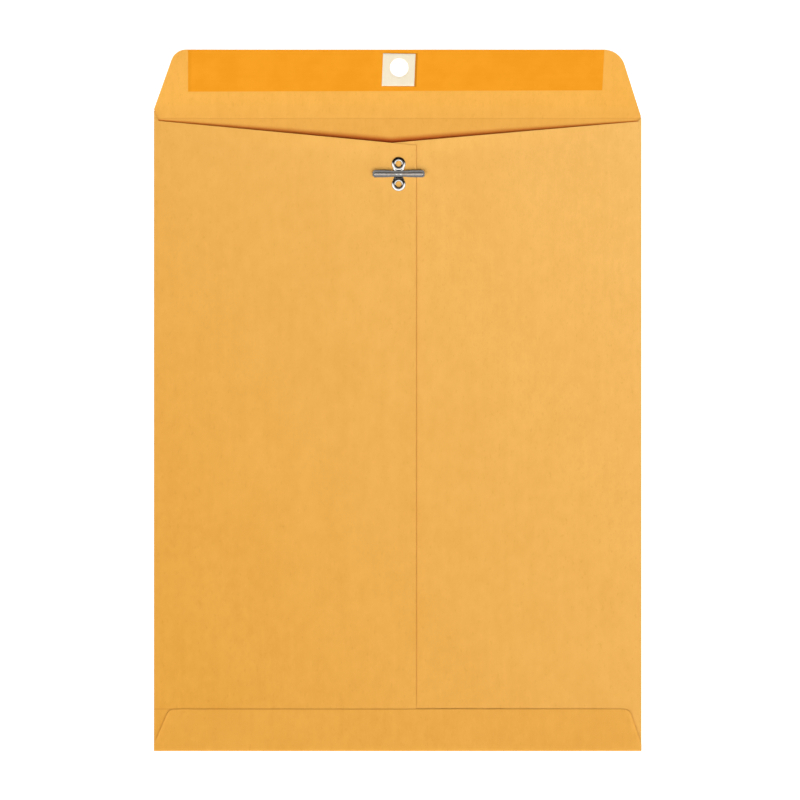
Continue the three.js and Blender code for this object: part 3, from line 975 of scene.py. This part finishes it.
@dataclass(frozen=True)
class Gum(Finish):
    """Dried remoistening gum, rolled on along the flap, with a soft shine and painted shade beside
    the patch.
    """

    thin: Colour = seen(247, 160, 33)
    thick: Colour = seen(243, 155, 27)
    edge: Colour = seen(226, 138, 14)
    patch_shade: Colour = seen(170, 96, 12)
    ends: Point = (0.1066, 0.1088)  # X where the film's ends grow darker, in metres
    end_amount: float = 0.35
    rim: Point = (0.0005, 0.0002)  # reach of the painted shade beside the patch's edges
    patch_shade_amount: float = 0.55
    patch_middle: Point = (1.3, 172.25)
    patch_half: Point = (8.45, 8.4)
    patch_turn: Point = (-0.041, 0.012)  # slope of the patch's sides and of its ends

    def beside_patch(self, nodes: Nodes, place: Any) -> Any:
        """Lays the distance from the patch's outline.

        Args:
            nodes: the material's nodes.
            place: the place's X, Y and Z.

        Returns:
            The distance in metres, below zero under the patch.
        """
        x, y = (nodes.minus(place[axis], self.patch_middle[axis] * MM) for axis in (0, 1))
        across = nodes.gain(y, self.patch_turn[0], x)
        up = nodes.gain(x, self.patch_turn[1], y)
        sides = nodes.minus(nodes.size(across), self.patch_half[0] * MM)
        return nodes.most(sides, nodes.minus(nodes.size(up), self.patch_half[1] * MM))

    def lay(self, nodes: Nodes) -> Any:
        """Lays the gum's nodes.

        Args:
            nodes: the material's nodes.

        Returns:
            The shader node.
        """
        place = nodes.place()
        parts = nodes.parts(place)
        rolled = nodes.noise(nodes.stretch(place, (0.04, 1.0, 1.0)), 500.0, 3.0, 0.6)
        pools = nodes.noise(place, 60.0, 4.0, 0.6)
        grain = nodes.noise(nodes.stretch(place, (1.0, 0.3, 1.0)), 1800.0, 3.0, 0.6)
        depth = nodes.gain(pools, 0.8, nodes.times(rolled, 0.2))
        colour = nodes.mix(nodes.between(depth, 0.38, 0.62), self.thin, self.thick)
        end = nodes.between(nodes.size(parts[0]), *self.ends)
        colour = nodes.mix(nodes.times(end, self.end_amount), colour, self.edge)
        # painted shade of the patch's edges on the gum round it
        rim = nodes.between(self.beside_patch(nodes, parts), *self.rim)
        colour = nodes.mix(nodes.times(rim, self.patch_shade_amount), colour, self.patch_shade)
        relief = nodes.gain(rolled, 0.6, nodes.times(grain, 0.4))
        gloss = nodes.gain(grain, 0.2, 0.45)
        return nodes.surface(colour, gloss, relief, (0.4, 0.00003), Specular_IOR_Level=0.08)


@dataclass(frozen=True)
class PatchPaper(Finish):
    """Cream reinforcing paper, with a faint laid texture."""

    cream: Colour = seen(247, 237, 212)
    shade: Colour = (0.93, 0.9, 0.84, 1.0)
    roughness: float = 0.8

    def lay(self, nodes: Nodes) -> Any:
        """Lays the paper's nodes.

        Args:
            nodes: the material's nodes.

        Returns:
            The shader node.
        """
        place = nodes.place()
        amounts = {"Mottle": 0.5, "Streaks": 0.15, "Fibre": 0.35, "Flecks": 0.3}
        grain = GRAIN.put(nodes, Place=place, Base=self.cream, Shade=self.shade, **amounts)
        laid = nodes.add("TexWave", {"Vector": place, "Scale": 700.0, "Distortion": 1.5})
        relief = nodes.gain(laid.outputs["Fac"], 0.35, grain["Relief"])
        return nodes.surface(grain["Colour"], self.roughness, relief, (0.5, 0.00003))


@dataclass(frozen=True)
class DriedGlue(Finish):
    """Dried seam glue, a thin amber film between the sheets."""

    clear: Colour = seen(222, 190, 128)
    milky: Colour = seen(236, 216, 170)

    def lay(self, nodes: Nodes) -> Any:
        """Lays the glue's nodes.

        Args:
            nodes: the material's nodes.

        Returns:
            The shader node.
        """
        pools = nodes.noise(nodes.add("TexCoord").outputs["Object"], 180.0, 4.0, 0.6)
        colour = nodes.mix(nodes.between(pools, 0.35, 0.65), self.clear, self.milky)
        return nodes.surface(colour, nodes.gain(pools, 0.3, 0.25), pools, (0.4, 0.00002))


@dataclass(frozen=True)
class TinnedSteel(Finish):
    """Bright tinned steel, rolled and lightly handled."""

    bright: Colour = (0.42, 0.41, 0.395, 1.0)
    dull: Colour = (0.32, 0.305, 0.29, 1.0)

    def lay(self, nodes: Nodes) -> Any:
        """Lays the metal's nodes.

        Args:
            nodes: the material's nodes.

        Returns:
            The shader node.
        """
        marks = SCRATCHES.put(nodes, Place=nodes.place(), Amount=0.6)
        colour = nodes.mix(marks["Dull"], self.bright, self.dull)
        gloss = nodes.gain(marks["Dull"], 0.1, 0.1)
        return nodes.surface(colour, gloss, marks["Relief"], (0.25, 0.00001), Metallic=1.0)


OUTSIDE = Kraft(
    "kraft_outside",
    low=seen(233, 166, 60),
    high=seen(249, 192, 104),
    start=0.527,
    across=2.0,
    up=1.49,
    # painted shade lines beside the seam and the bottom flap's edge
    seam=0.22,
    foot=0.45,
)
# the low colour is painted shade on the inside of the front panel in the mouth, fading out over the
# flap's first 10 mm above the score
INSIDE = Kraft(
    "kraft_inside",
    low=seen(246, 180, 81),
    high=seen(251, 184, 80),
    start=-12.1,
    across=0.6,
    up=83.0,
    # the throat's painted shade falls on this side of the paper
    throat_shade=1.0,
)
FOOT = replace(OUTSIDE, name="kraft_bottom_flap", start=0.44, across=0.55)
EDGE = CutEdge("kraft_cut_edge")
GUM = Gum("rolled_gum")
PATCH = PatchPaper("cream_patch")
GLUE = DriedGlue("glue_film")
STEEL = TinnedSteel("bright_tin")


def dress(piece: bpy.types.Object, *finishes: Finish) -> None:
    """Gives a piece its materials, in the order of its slots.

    Args:
        piece: the object.
        *finishes: one finish for each slot.
    """
    piece.data.materials.clear()
    for finish in finishes:
        piece.data.materials.append(finish.material())


# Sheets


@dataclass
class FrontSheet:
    """The front panel and the closing flap, one sheet with a scored crease between them."""

    blank: Blank
    cell: Point = (4.0, 16.0)
    crease_rows: int = 16
    shoulder_rows: int = 3
    flap_rows: int = 12
    inset_left: float = 11.1
    inset_right: float = 11.3
    shoulder_left: float = 4.3
    radius_left: float = 8.0
    radius_right: float = 11.5
    hole_x: float = 0.8
    hole_height: float = 25.9
    hole_diameter: float = 9.6
    groove: float = 0.05  # its depth, and half its width
    groove_half: float = 0.35
    punch_reach: Point = (-1.0, 2.0)  # where the punch starts and ends

    @property
    def hole(self) -> Point:
        """The middle of the punched hole."""
        return (self.hole_x, self.blank.score_y + self.hole_height)

    def punch_hole(self, piece: Workpiece) -> None:
        """Punches the flap's hole through a piece that lies on the flap."""
        piece.punch(self.hole, self.hole_diameter, *self.punch_reach)

    def surface(self, x: float, y: float) -> float:
        """Returns the height of the sheet's lower side, with the groove of the score."""
        off_score = (y - self.blank.groove_y) / self.groove_half
        return self.blank.flap_curl(x, y) + self.groove * (1 - math.exp(-off_score * off_score))

    def build(self) -> bpy.types.Object:
        """Lays, cuts and punches the sheet.

        Returns:
            The finished piece.
        """
        b = self.blank
        sheet = Workpiece.sheet(
            "front_sheet",
            (-b.fold_x, b.bottom_fold_y),
            (b.fold_x, b.score_y - b.crease_half),
            self.cell,
        )
        steps = (
            (2 * b.crease_half, self.crease_rows),
            (self.shoulder_left - b.crease_half, self.shoulder_rows),
            (b.flap_height - self.shoulder_left, self.flap_rows),
        )
        for length, rows in steps:
            top = max(v.co.y for v in sheet.object.data.vertices) - NEAR
            sheet.extend(lambda place, top=top: place.y > top, (0, length, 0), rows)
        shoulder = b.score_y + self.shoulder_left
        sheet.press(lambda p: (math.copysign(b.fold_reach, p.x) * (p.y > shoulder - NEAR), 0, 0))
        left = (-b.half_width, shoulder)
        left_tip = (-b.half_width + self.inset_left, b.tip_y)
        right = (b.half_width, b.score_y)
        right_tip = (b.half_width - self.inset_right, b.tip_y)
        sheet.trim_line(left_tip, left)
        sheet.trim_line(right, right_tip)
        sheet.round_corner(right, right_tip, left_tip, self.radius_right)
        sheet.round_corner(right_tip, left_tip, left, self.radius_left)
        sheet.lift(lambda x, y: self.surface(x, y) - self.groove)
        sheet.thicken(b.paper)
        self.punch_hole(sheet)
        piece = sheet.done()
        dress(piece, INSIDE, OUTSIDE, EDGE)
        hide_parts("front_panel", "flap_crease", "seal_flap")
        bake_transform(piece)
        return piece


@dataclass
class BackPanel:
    """A back panel with its side fold; the left one goes over the right one at the seam."""

    blank: Blank
    side: Side
    fold_top: float  # end of the side fold and of the corner cut, above the score line
    cell: Point = (3.0, 3.0)
    fold_steps: int = 12
    punch_reach: Point = (0.0, 4.0)  # where the punch starts and ends
    eyelet_hole: float = 3.5
    eyelet_core: float = 2.96  # the paper that stays inside the eyelet's barrel

    def cut_throat(self, sheet: Workpiece) -> None:
        """Cuts the sloping top edge and the slanted corner beside the side fold.

        Args:
            sheet: the flat panel.
        """
        b, sign = self.blank, self.side.value
        across, drop = b.left_shoulder if self.side is Side.LEFT else b.right_shoulder
        shoulder = (across, b.score_y - drop)
        throat = (b.throat_x, b.score_y - b.throat_depth)
        corner = (sign * b.fold_x, b.score_y + self.fold_top)

        def near(place: Vector) -> bool:
            """Accepts the faces near the top edge."""
            return place.y > b.score_y - 2 * b.throat_depth

        def beyond(place: Vector) -> bool:
            """Accepts what lies above the cut."""
            ends = (shoulder, corner) if sign * (place.x - across) > 0 else (throat, shoulder)
            share = (place.x - ends[0][0]) / (ends[1][0] - ends[0][0])
            return place.y > lerp(ends[0][1], ends[1][1], share)

        sheet.score(shoulder, (shoulder[0], throat[1]), near)
        sheet.score(throat, shoulder, near)
        sheet.score(shoulder, corner, lambda p: near(p) and sign * (p.x - across) > 0)
        sheet.drop(beyond)

    def build(self) -> bpy.types.Object:
        """Lays, cuts, bows and folds the panel.

        Returns:
            The finished piece.
        """
        b, sign = self.blank, self.side.value
        left = self.side is Side.LEFT
        name = "left_back" if left else "right_back"
        inner = b.seam_edge_x if left else b.inner_seam_x
        ends = sorted((sign * b.fold_x, inner))
        foot = b.bottom_fold_y + b.glue_clearance
        top = b.score_y + self.fold_top
        sheet = Workpiece.sheet(name, (ends[0], foot), (ends[1], top), self.cell)
        self.cut_throat(sheet)
        if left:
            for share in (0.5, 1.0):
                x = b.seam_edge_x - share * b.free_edge
                sheet.score((x, 0), (x, 1))
            sheet.lift(lambda x, y: b.left_underside(x, y) + b.seam_lift(x, y))
        else:
            sheet.lift(b.back_underside)
        sheet.fold(
            lambda p: abs(p.x - sign * b.fold_x) < NEAR,
            (sign * b.fold_x, 0, b.fold_reach),
            -sign * math.pi,
            self.fold_steps,
        )
        sheet.thicken(b.paper)
        for way in (-1, 1):
            y = b.clasp_y + way * b.eyelet_spacing / 2
            sheet.punch((b.clasp_x, y), self.eyelet_hole, *self.punch_reach, self.eyelet_core)
        piece = sheet.done()
        dress(piece, OUTSIDE, INSIDE, EDGE)
        nodes = [f"{self.side.name.lower()}_{form}" for form in ("back_panel", "side_fold")]
        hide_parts(*nodes)
        if left:
            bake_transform(piece)
        else:
            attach(piece, "envelope")
        return piece


@dataclass
class BottomFlap:
    """The bottom flap, with its fold, glued over the foot of both back panels."""

    blank: Blank
    cell: Point = (3.0, 2.0)
    inset_left: float = 8.0
    inset_right: float = 6.3
    shoulder: float = 3.6
    corner_radius: float = 4.3
    fold_length: float = 1.2
    fold_rows: int = 12

    def side_lift(self, point: Vector) -> float:
        """Returns how far a slanted side has come up beyond its glue."""
        b = self.blank
        inset = self.inset_left if point.x < 0 else self.inset_right
        up = (point.y - b.bottom_y - self.shoulder) / (b.bottom_flap_height - self.shoulder)
        from_side = b.half_width - abs(point.x) - inset * up
        return b.free_lift * (1 - ease(from_side / b.free_edge)) * ease(up * 3)

    def place(self, point: Vector) -> tuple[float, float, float]:
        """Gives how far a point of the flat sheet moves when the bottom is folded.

        Args:
            point: a point of the flat sheet.

        Returns:
            Its move along X, Y and Z.
        """
        b = self.blank
        past = b.bottom_fold_y - point.y
        if past <= 0:
            height = b.bottom_flap_underside(point.x, point.y)
            return (0, 0, height + self.side_lift(point))
        half = (b.bottom_flap_underside(point.x, b.bottom_fold_y) + b.paper) / 2
        turn = math.pi * past / self.fold_length
        y = b.bottom_fold_y - (b.bottom_reach - b.paper) * math.sin(turn)
        return (0, y - point.y, half + (half - b.paper) * math.cos(turn))

    def build(self) -> bpy.types.Object:
        """Lays, cuts and folds the flap.

        Returns:
            The finished piece.
        """
        b = self.blank
        top = b.bottom_y + b.bottom_flap_height
        foot = (-b.half_width, b.bottom_fold_y)
        sheet = Workpiece.sheet("bottom_flap_sheet", foot, (b.half_width, top), self.cell)
        sheet.extend(
            lambda p: p.y < b.bottom_fold_y + NEAR, (0, -self.fold_length, 0), self.fold_rows
        )
        left = (-b.half_width, b.bottom_y + self.shoulder)
        right = (b.half_width, b.bottom_y + self.shoulder)
        left_tip = (-b.half_width + self.inset_left, top)
        right_tip = (b.half_width - self.inset_right, top)
        sheet.trim_line(left_tip, left)
        sheet.trim_line(right, right_tip)
        for start, end, way in ((left_tip, left, 1), (right_tip, right, -1)):
            for share in (0.5, 1.0):
                off = way * share * b.free_edge
                sheet.score((start[0] + off, start[1]), (end[0] + off, end[1]))
        sheet.round_corner(right, right_tip, left_tip, self.corner_radius)
        sheet.round_corner(right_tip, left_tip, left, self.corner_radius)
        sheet.press(self.place)
        sheet.thicken(b.paper)
        piece = sheet.done()
        dress(piece, FOOT, INSIDE, EDGE)
        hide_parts("bottom_flap", "bottom_fold")
        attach(piece, "envelope")
        return piece


@dataclass
class GumBand:
    """The film of dried gum on the flap."""

    front: FrontSheet
    thickness: float = 0.03
    cell: Point = (3.0, 2.0)
    left: float = -109.2
    right_top: float = 107.7
    right_foot: float = 106.6
    left_height: float = 21.9
    right_height: float = 21.2

    def build(self) -> bpy.types.Object:
        """Lays and cuts the film, and punches it with the flap.

        Returns:
            The finished piece.
        """
        b = self.front.blank
        low_left = (self.left, b.tip_y - self.left_height)
        low_right = (self.right_foot, b.tip_y - self.right_height)
        film = Workpiece.sheet("gum_film", low_left, (self.right_top, b.tip_y), self.cell)
        film.trim_line(low_left, low_right)
        film.trim_line(low_right, (self.right_top, b.tip_y))
        film.lift(lambda x, y: b.paper + b.flap_curl(x, y))
        film.thicken(self.thickness)
        self.front.punch_hole(film)
        piece = film.done()
        dress(piece, GUM)
        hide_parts("gum_band")
        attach(piece, "flap")
        return piece


@dataclass
class HolePatch:
    """The cream square that reinforces the hole, stuck on a little askew."""

    front: FrontSheet
    gum: GumBand
    thickness: float = 0.15
    cell: Point = (1.2, 1.2)
    edge_round: float = 0.03
    corners: tuple[Point, ...] = ((-8.3, -9.5), (8.6, -9.6), (9.3, 7.15), (-7.6, 7.45))

    def build(self) -> bpy.types.Object:
        """Cuts the square out of a larger sheet and punches it with the flap.

        Returns:
            The finished piece.
        """
        b = self.front.blank
        middle_y = self.front.hole[1]
        corners = [(x, middle_y + y) for x, y in self.corners]
        low = (min(x for x, _ in corners), min(y for _, y in corners))
        high = (max(x for x, _ in corners), max(y for _, y in corners))
        square = Workpiece.sheet("reinforcing_patch", low, high, self.cell)
        for start, end in zip(corners, corners[1:] + corners[:1]):
            square.trim_line(start, end)
        base = b.paper + self.gum.thickness
        square.lift(lambda x, y: base + b.flap_curl(x, y))
        square.thicken(self.thickness)
        self.front.punch_hole(square)
        square.soften(self.edge_round)
        piece = square.done()
        dress(piece, PATCH)
        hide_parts("hole_patch")
        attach(piece, "flap")
        return piece


# The clasp


@dataclass
class Clasp:
    """The stamped clasp: two eyelets and a neck, with a ribbed prong to each side."""

    blank: Blank
    metal: float = 0.3
    rim_radius: float = 3.6
    rim_step: float = 0.05  # how far the rim's foot lies inside its edge
    bore_radius: float = 1.5
    crest: float = 0.6
    crest_radius: float = 2.2
    clinch_radius: float = 2.7
    clinch_step: float = 0.1  # of the section where the barrel is turned out inside
    seat_clearance: float = 0.03
    neck_half: float = 2.15
    neck_flare: float = 0.75
    neck_length: float = 3.4
    neck_metal: float = 0.14
    neck_foot: float = 0.12  # its height above the seat, and its rise to the eyelets
    neck_rise: float = 0.3
    neck_level: float = 0.3  # share of its length that stays level
    neck_cell: Point = (0.25, 0.25)
    prong_height: float = 1.184  # of the prongs' underside above the seat
    prong_length: float = 13.5
    prong_half: float = 1.875
    prong_cell: Point = (0.15, 0.125)
    root_half: float = 1.5
    taper: float = 9.0  # length over which the prong widens from its root
    tip_radius: float = 1.3
    rib_height: float = 0.5
    rib_half: float = 0.55
    rib_from_tip: float = 0.9
    rib_section: float = 1.5  # power of the cosine that the rib's section follows
    hinge_x: float = 1.1
    bend_half: float = 0.65
    bend_dip: float = 0.55  # share of the rib that is lost at the hinge
    dip_half: float = 0.5
    ring_steps: int = 64
    dome_steps: int = 16
    edge_round: float = 0.04
    prong_round: float = 0.07
    smooth: float = 40.0  # edges that turn by more stay sharp, in degrees
    saddle_half: Point = (0.66, 1.3)
    saddle_edge: float = 0.02  # of its underside, round the stem
    root_gap: float = 0.01  # between the saddle and the prongs
    stem_foot: float = 0.1  # its height above the seat
    stem_half: float = 0.72  # narrow enough for the closed flap's hole
    shelf: float = 0.1  # thickness of the saddle on the stem

    @property
    def seat(self) -> float:
        """The height that the clasp stands on."""
        b = self.blank
        y = b.clasp_y + b.eyelet_spacing / 2 + self.rim_radius
        flat = b.left_underside(b.clasp_x, y) - b.ripple(b.clasp_x, y)
        return flat + b.paper + self.seat_clearance

    def eyelet_profile(self) -> list[Point]:
        """Gives the eyelet's section.

        Returns:
            Radius and height above the seat of each point, round a closed line.
        """
        b = self.blank
        y = b.clasp_y - b.eyelet_spacing / 2
        inside = b.back_underside(b.clasp_x, y) - b.paper - self.seat
        middle, lip = self.crest_radius, self.metal / 3
        dome = []
        for step in range(self.dome_steps + 1):
            angle = math.pi * step / self.dome_steps
            reach = self.rim_radius - middle if math.cos(angle) > 0 else middle - self.bore_radius
            rise = (self.crest - lip) * math.sin(angle)
            dome.append((middle + reach * math.cos(angle), lip + rise))
        rim_foot, step = (self.rim_radius - self.rim_step, 0.0), self.clinch_step
        bore, out = self.bore_radius, self.clinch_radius
        barrel = bore + self.metal / 2
        return [
            rim_foot,
            *dome,
            (bore, inside - 2 * step),
            (bore + 2 * step, inside - 3 * step),
            (out - step, inside - 3 * step),
            (out, inside - 2 * step),
            (out - step, inside - step),
            (barrel + step, inside),
            (barrel, inside),
            (barrel, 0.0),
            rim_foot,
        ]

    def eyelet(self, y: float) -> Workpiece:
        """Draws an eyelet ring by ring from a circle.

        Args:
            y: its place from the clasp's middle.

        Returns:
            The eyelet on the bench.
        """
        b = self.blank
        profile = self.eyelet_profile()
        centre = Vector((b.clasp_x, b.clasp_y + y, self.seat))
        circle = {"vertices": self.ring_steps, "radius": profile[0][0], "location": centre}
        ring = Workpiece("eyelet", bpy.ops.mesh.primitive_circle_add, **circle)
        ring.settle()
        with ring.edit(Element.EDGE):
            for (radius, height), (wide, high) in zip(profile, profile[1:]):
                draw_out((0, 0, high - height))
                share = wide / radius
                bpy.ops.transform.resize(value=(share, share, 1), center_override=centre)
        ring.close()
        return ring

    def neck(self) -> Workpiece:
        """Presses the strip between the eyelets, lowest under the prongs.

        Returns:
            The neck on the bench.
        """
        b = self.blank
        strip = Workpiece.sheet(
            "clasp_plate",
            (b.clasp_x - self.neck_half, b.clasp_y - self.neck_length),
            (b.clasp_x + self.neck_half, b.clasp_y + self.neck_length),
            self.neck_cell,
        )

        def shift(point: Vector) -> tuple[float, float, float]:
            """Gives the move of a point: out at the eyelets and up towards them."""
            along = abs(point.y - b.clasp_y) / self.neck_length
            across = (point.x - b.clasp_x) / self.neck_half
            climb = ease((along - self.neck_level) / (1 - self.neck_level))
            height = self.seat + self.neck_foot + self.neck_rise * climb
            return (across * self.neck_flare * climb, 0, height)

        strip.press(shift)
        strip.thicken(self.neck_metal, outward=False)
        strip.soften(self.edge_round)
        return strip

    def saddle(self) -> Workpiece:
        """Raises the stem and the wider saddle on it that carries the prongs' roots.

        Returns:
            The saddle on the bench.
        """
        b = self.blank
        foot = self.seat + self.stem_foot
        top = self.seat + self.prong_height - self.root_gap
        centre = (b.clasp_x, b.clasp_y, (foot + top) / 2)
        post = Workpiece("saddle", bpy.ops.mesh.primitive_cube_add, size=1, location=centre)
        post.settle()
        with post.edit(Element.VERT):
            size = (2 * self.saddle_half[0], 2 * self.saddle_half[1], top - foot)
            bpy.ops.transform.resize(value=size, center_override=centre)
        with post.edit(Element.FACE, lambda p: p.z < foot + NEAR):
            up = self.shelf - (top - foot)
            bpy.ops.transform.translate(value=(0, 0, -up))
            bpy.ops.mesh.inset(thickness=self.saddle_edge)
            narrow = self.stem_half / (self.saddle_half[1] - self.saddle_edge)
            bpy.ops.transform.resize(value=(1, narrow, 1), center_override=centre)
            draw_out((0, 0, up))
        post.soften(self.edge_round, segments=3)
        return post

    def base(self) -> bpy.types.Object:
        """Joins eyelets, neck and saddle into one stamping.

        Returns:
            The finished piece.
        """
        stamping = self.neck()
        for way in (-1, 1):
            stamping.weld(self.eyelet(way * self.blank.eyelet_spacing / 2))
        stamping.weld(self.saddle())
        piece = stamping.done(self.smooth)
        dress(piece, STEEL)
        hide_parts("clasp_base")
        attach(piece, "envelope")
        return piece

    def rib(self, out: float, across: float) -> float:
        """Gives the height of the pressed rib.

        Args:
            out: distance from the clasp's middle along the prong.
            across: distance from the prong's middle line.

        Returns:
            The rib's height above the strip.
        """
        end = self.prong_length - self.rib_from_tip - self.rib_half
        away = math.hypot(max(0.0, out - end), across) / self.rib_half
        if away >= 1:
            return 0.0
        dip = self.bend_dip * math.exp(-(((out - self.hinge_x) / self.dip_half) ** 2))
        return self.rib_height * (1 - dip) * math.cos(away * math.pi / 2) ** self.rib_section

    def prong(self, side: Side) -> bpy.types.Object:
        """Cuts and presses a prong, from the clasp's middle out to its tip.

        Args:
            side: which way it points.

        Returns:
            The finished piece.
        """
        b, sign = self.blank, side.value
        name = f"{side.name.lower()}_prong"
        ends = sorted((b.clasp_x, b.clasp_x + sign * self.prong_length))
        half = self.prong_half
        corners = [(x, b.clasp_y + y) for x, y in zip(ends, (-half, half))]
        strip = Workpiece.sheet(name + "_strip", *corners, self.prong_cell)
        tip = b.clasp_x + sign * self.prong_length
        low, high = b.clasp_y - sign * half, b.clasp_y + sign * half
        outline = [(b.clasp_x, low), (tip, low), (tip, high), (b.clasp_x, high)]
        strip.round_corner(*outline[0:3], self.tip_radius)
        strip.round_corner(*outline[1:4], self.tip_radius)

        def shift(point: Vector) -> tuple[float, float, float]:
            """Gives the move of a point: in at the root, and up for the rib."""
            out, across = abs(point.x - b.clasp_x), point.y - b.clasp_y
            width = lerp(self.root_half, half, ease(out / self.taper)) / half
            across_now = across * width
            top = self.seat + self.prong_height + self.metal
            return (0, across_now - across, top + self.rib(out, across_now))

        strip.press(shift)
        strip.thicken(self.metal, outward=False)
        strip.soften(self.prong_round, segments=3, angle_limit=1.0)
        piece = strip.done(self.smooth)
        dress(piece, STEEL)
        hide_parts(name)
        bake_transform(piece)
        return piece

    def build(self) -> list[bpy.types.Object]:
        """Makes the whole clasp.

        Returns:
            Its pieces.
        """
        return [self.base(), *(self.prong(side) for side in Side)]


# The studio


@dataclass
class Studio:
    """A white table under soft light from the envelope's foot, seen from straight above."""

    view_width: float = 0.4169
    centre: Point = (0.00122, 0.0002)
    lens: float = 100.0
    sensor: float = 36.0
    floor_size: float = 12.0
    floor_drop: float = 0.0002
    key_light: float = 2.77
    low_light: float = 0.5
    top_light: float = 0.54
    back_light: float = 0.012
    dome_side: Point = (0.04, -0.34)  # where the dome's light starts and is full, by its Y
    dome_foot: Point = (0.36, 0.5)  # the same by height
    overhead: Point = (0.965, 0.99)  # and of the dim light straight above
    wrap: float = 0.42  # how much further round bright metal sees the dome

    def floor(self) -> None:
        """Lays the white table."""
        bpy.ops.object.select_all(action="DESELECT")
        bpy.ops.mesh.primitive_plane_add(size=self.floor_size, location=(0, 0, -self.floor_drop))
        floor = bpy.context.object
        floor.name = "floor"
        made = bpy.data.materials.new("white_table")
        made.use_nodes = True
        nodes = Nodes(made.node_tree)
        shader = nodes.add(
            "BsdfPrincipled",
            {
                "Base Color": (0.9, 0.9, 0.9, 1.0),
                "Roughness": 0.9,
                "Specular IOR Level": 0.2,
                "Emission Color": WHITE,
                "Emission Strength": 0.6,
            },
        )
        nodes.add("OutputMaterial", {"Surface": shader.outputs[0]})
        floor.data.materials.append(made)

    def camera(self) -> None:
        """Hangs the camera straight above the envelope."""
        distance = self.view_width * self.lens / self.sensor
        bpy.ops.object.camera_add(location=(*self.centre, distance), rotation=(0, 0, 0))
        camera = bpy.context.object
        camera.data.lens = self.lens
        camera.data.sensor_width = self.sensor
        camera.data.clip_start, camera.data.clip_end = 0.01, 50.0
        bpy.context.scene.camera = camera

    def sky(self, nodes: Nodes) -> Any:
        """Lays a half dome of soft light over the envelope's foot.

        Bright metal sees the dome reach further round, and a dim light straight above.

        Args:
            nodes: the world's nodes.

        Returns:
            A socket with the light in each direction.
        """
        _, y, z = nodes.parts(nodes.add("TexCoord").outputs["Generated"])
        level = nodes.math("SQRT", nodes.minus(1.0, nodes.math("POWER", z, 2.0)))
        facing = nodes.math("DIVIDE", y, nodes.most(level, 0.001))
        mirrored = nodes.add("LightPath").outputs["Is Glossy Ray"]
        facing = nodes.gain(mirrored, -self.wrap, facing)
        above = nodes.between(z, *self.dome_foot)
        overhead = nodes.between(z, *self.overhead)
        dome = nodes.gain(above, self.key_light - self.low_light, self.low_light)
        dome = nodes.gain(dome, nodes.between(facing, *self.dome_side), self.back_light)
        rest = nodes.times(nodes.minus(1.0, overhead), dome)
        return nodes.gain(nodes.times(overhead, mirrored), self.top_light, rest)

    def light(self) -> None:
        """Lights the table from the sky, and keeps the backdrop plain."""
        world = bpy.data.worlds.new("soft_studio")
        bpy.context.scene.world = world
        world.use_nodes = True
        nodes = Nodes(world.node_tree)
        sky = nodes.add("Background", {"Color": WHITE, "Strength": self.sky(nodes)})
        plain = nodes.add("Background", {"Color": WHITE, "Strength": 1.0})
        seen_by_camera = nodes.add("LightPath").outputs["Is Camera Ray"]
        both = {0: seen_by_camera, 1: sky.outputs[0], 2: plain.outputs[0]}
        nodes.add("OutputWorld", {0: nodes.add("MixShader", both).outputs[0]})

    def build(self) -> None:
        """Sets up the table, the light and the camera."""
        self.floor()
        self.light()
        self.camera()
        scene = bpy.context.scene
        scene.view_settings.view_transform = "Standard"
        scene.view_settings.look = "None"


def main() -> None:
    """Builds the envelope, reports each piece and keeps the model's size."""
    logging.basicConfig(level=logging.INFO, format="%(name)s: %(message)s")
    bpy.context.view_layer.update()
    blank = Blank()
    front = FrontSheet(blank)
    gum = GumBand(front)
    makers: list[Callable[[], Any]] = [
        front.build,
        BackPanel(blank, Side.LEFT, fold_top=3.34).build,
        BackPanel(blank, Side.RIGHT, fold_top=-0.2).build,
        BottomFlap(blank).build,
        gum.build,
        HolePatch(front, gum).build,
        Clasp(blank).build,
    ]
    for make in makers:
        made = make()
        for piece in made if isinstance(made, list) else [made]:
            log.info("%s: %d faces", piece.name, len(piece.data.polygons))
    for name in ("seam_glue", "bottom_flap_glue"):
        dress(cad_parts[name], GLUE)
        log.info("%s: kept from the frame", name)
    Studio().build()


if __name__ == "__main__":
    main()
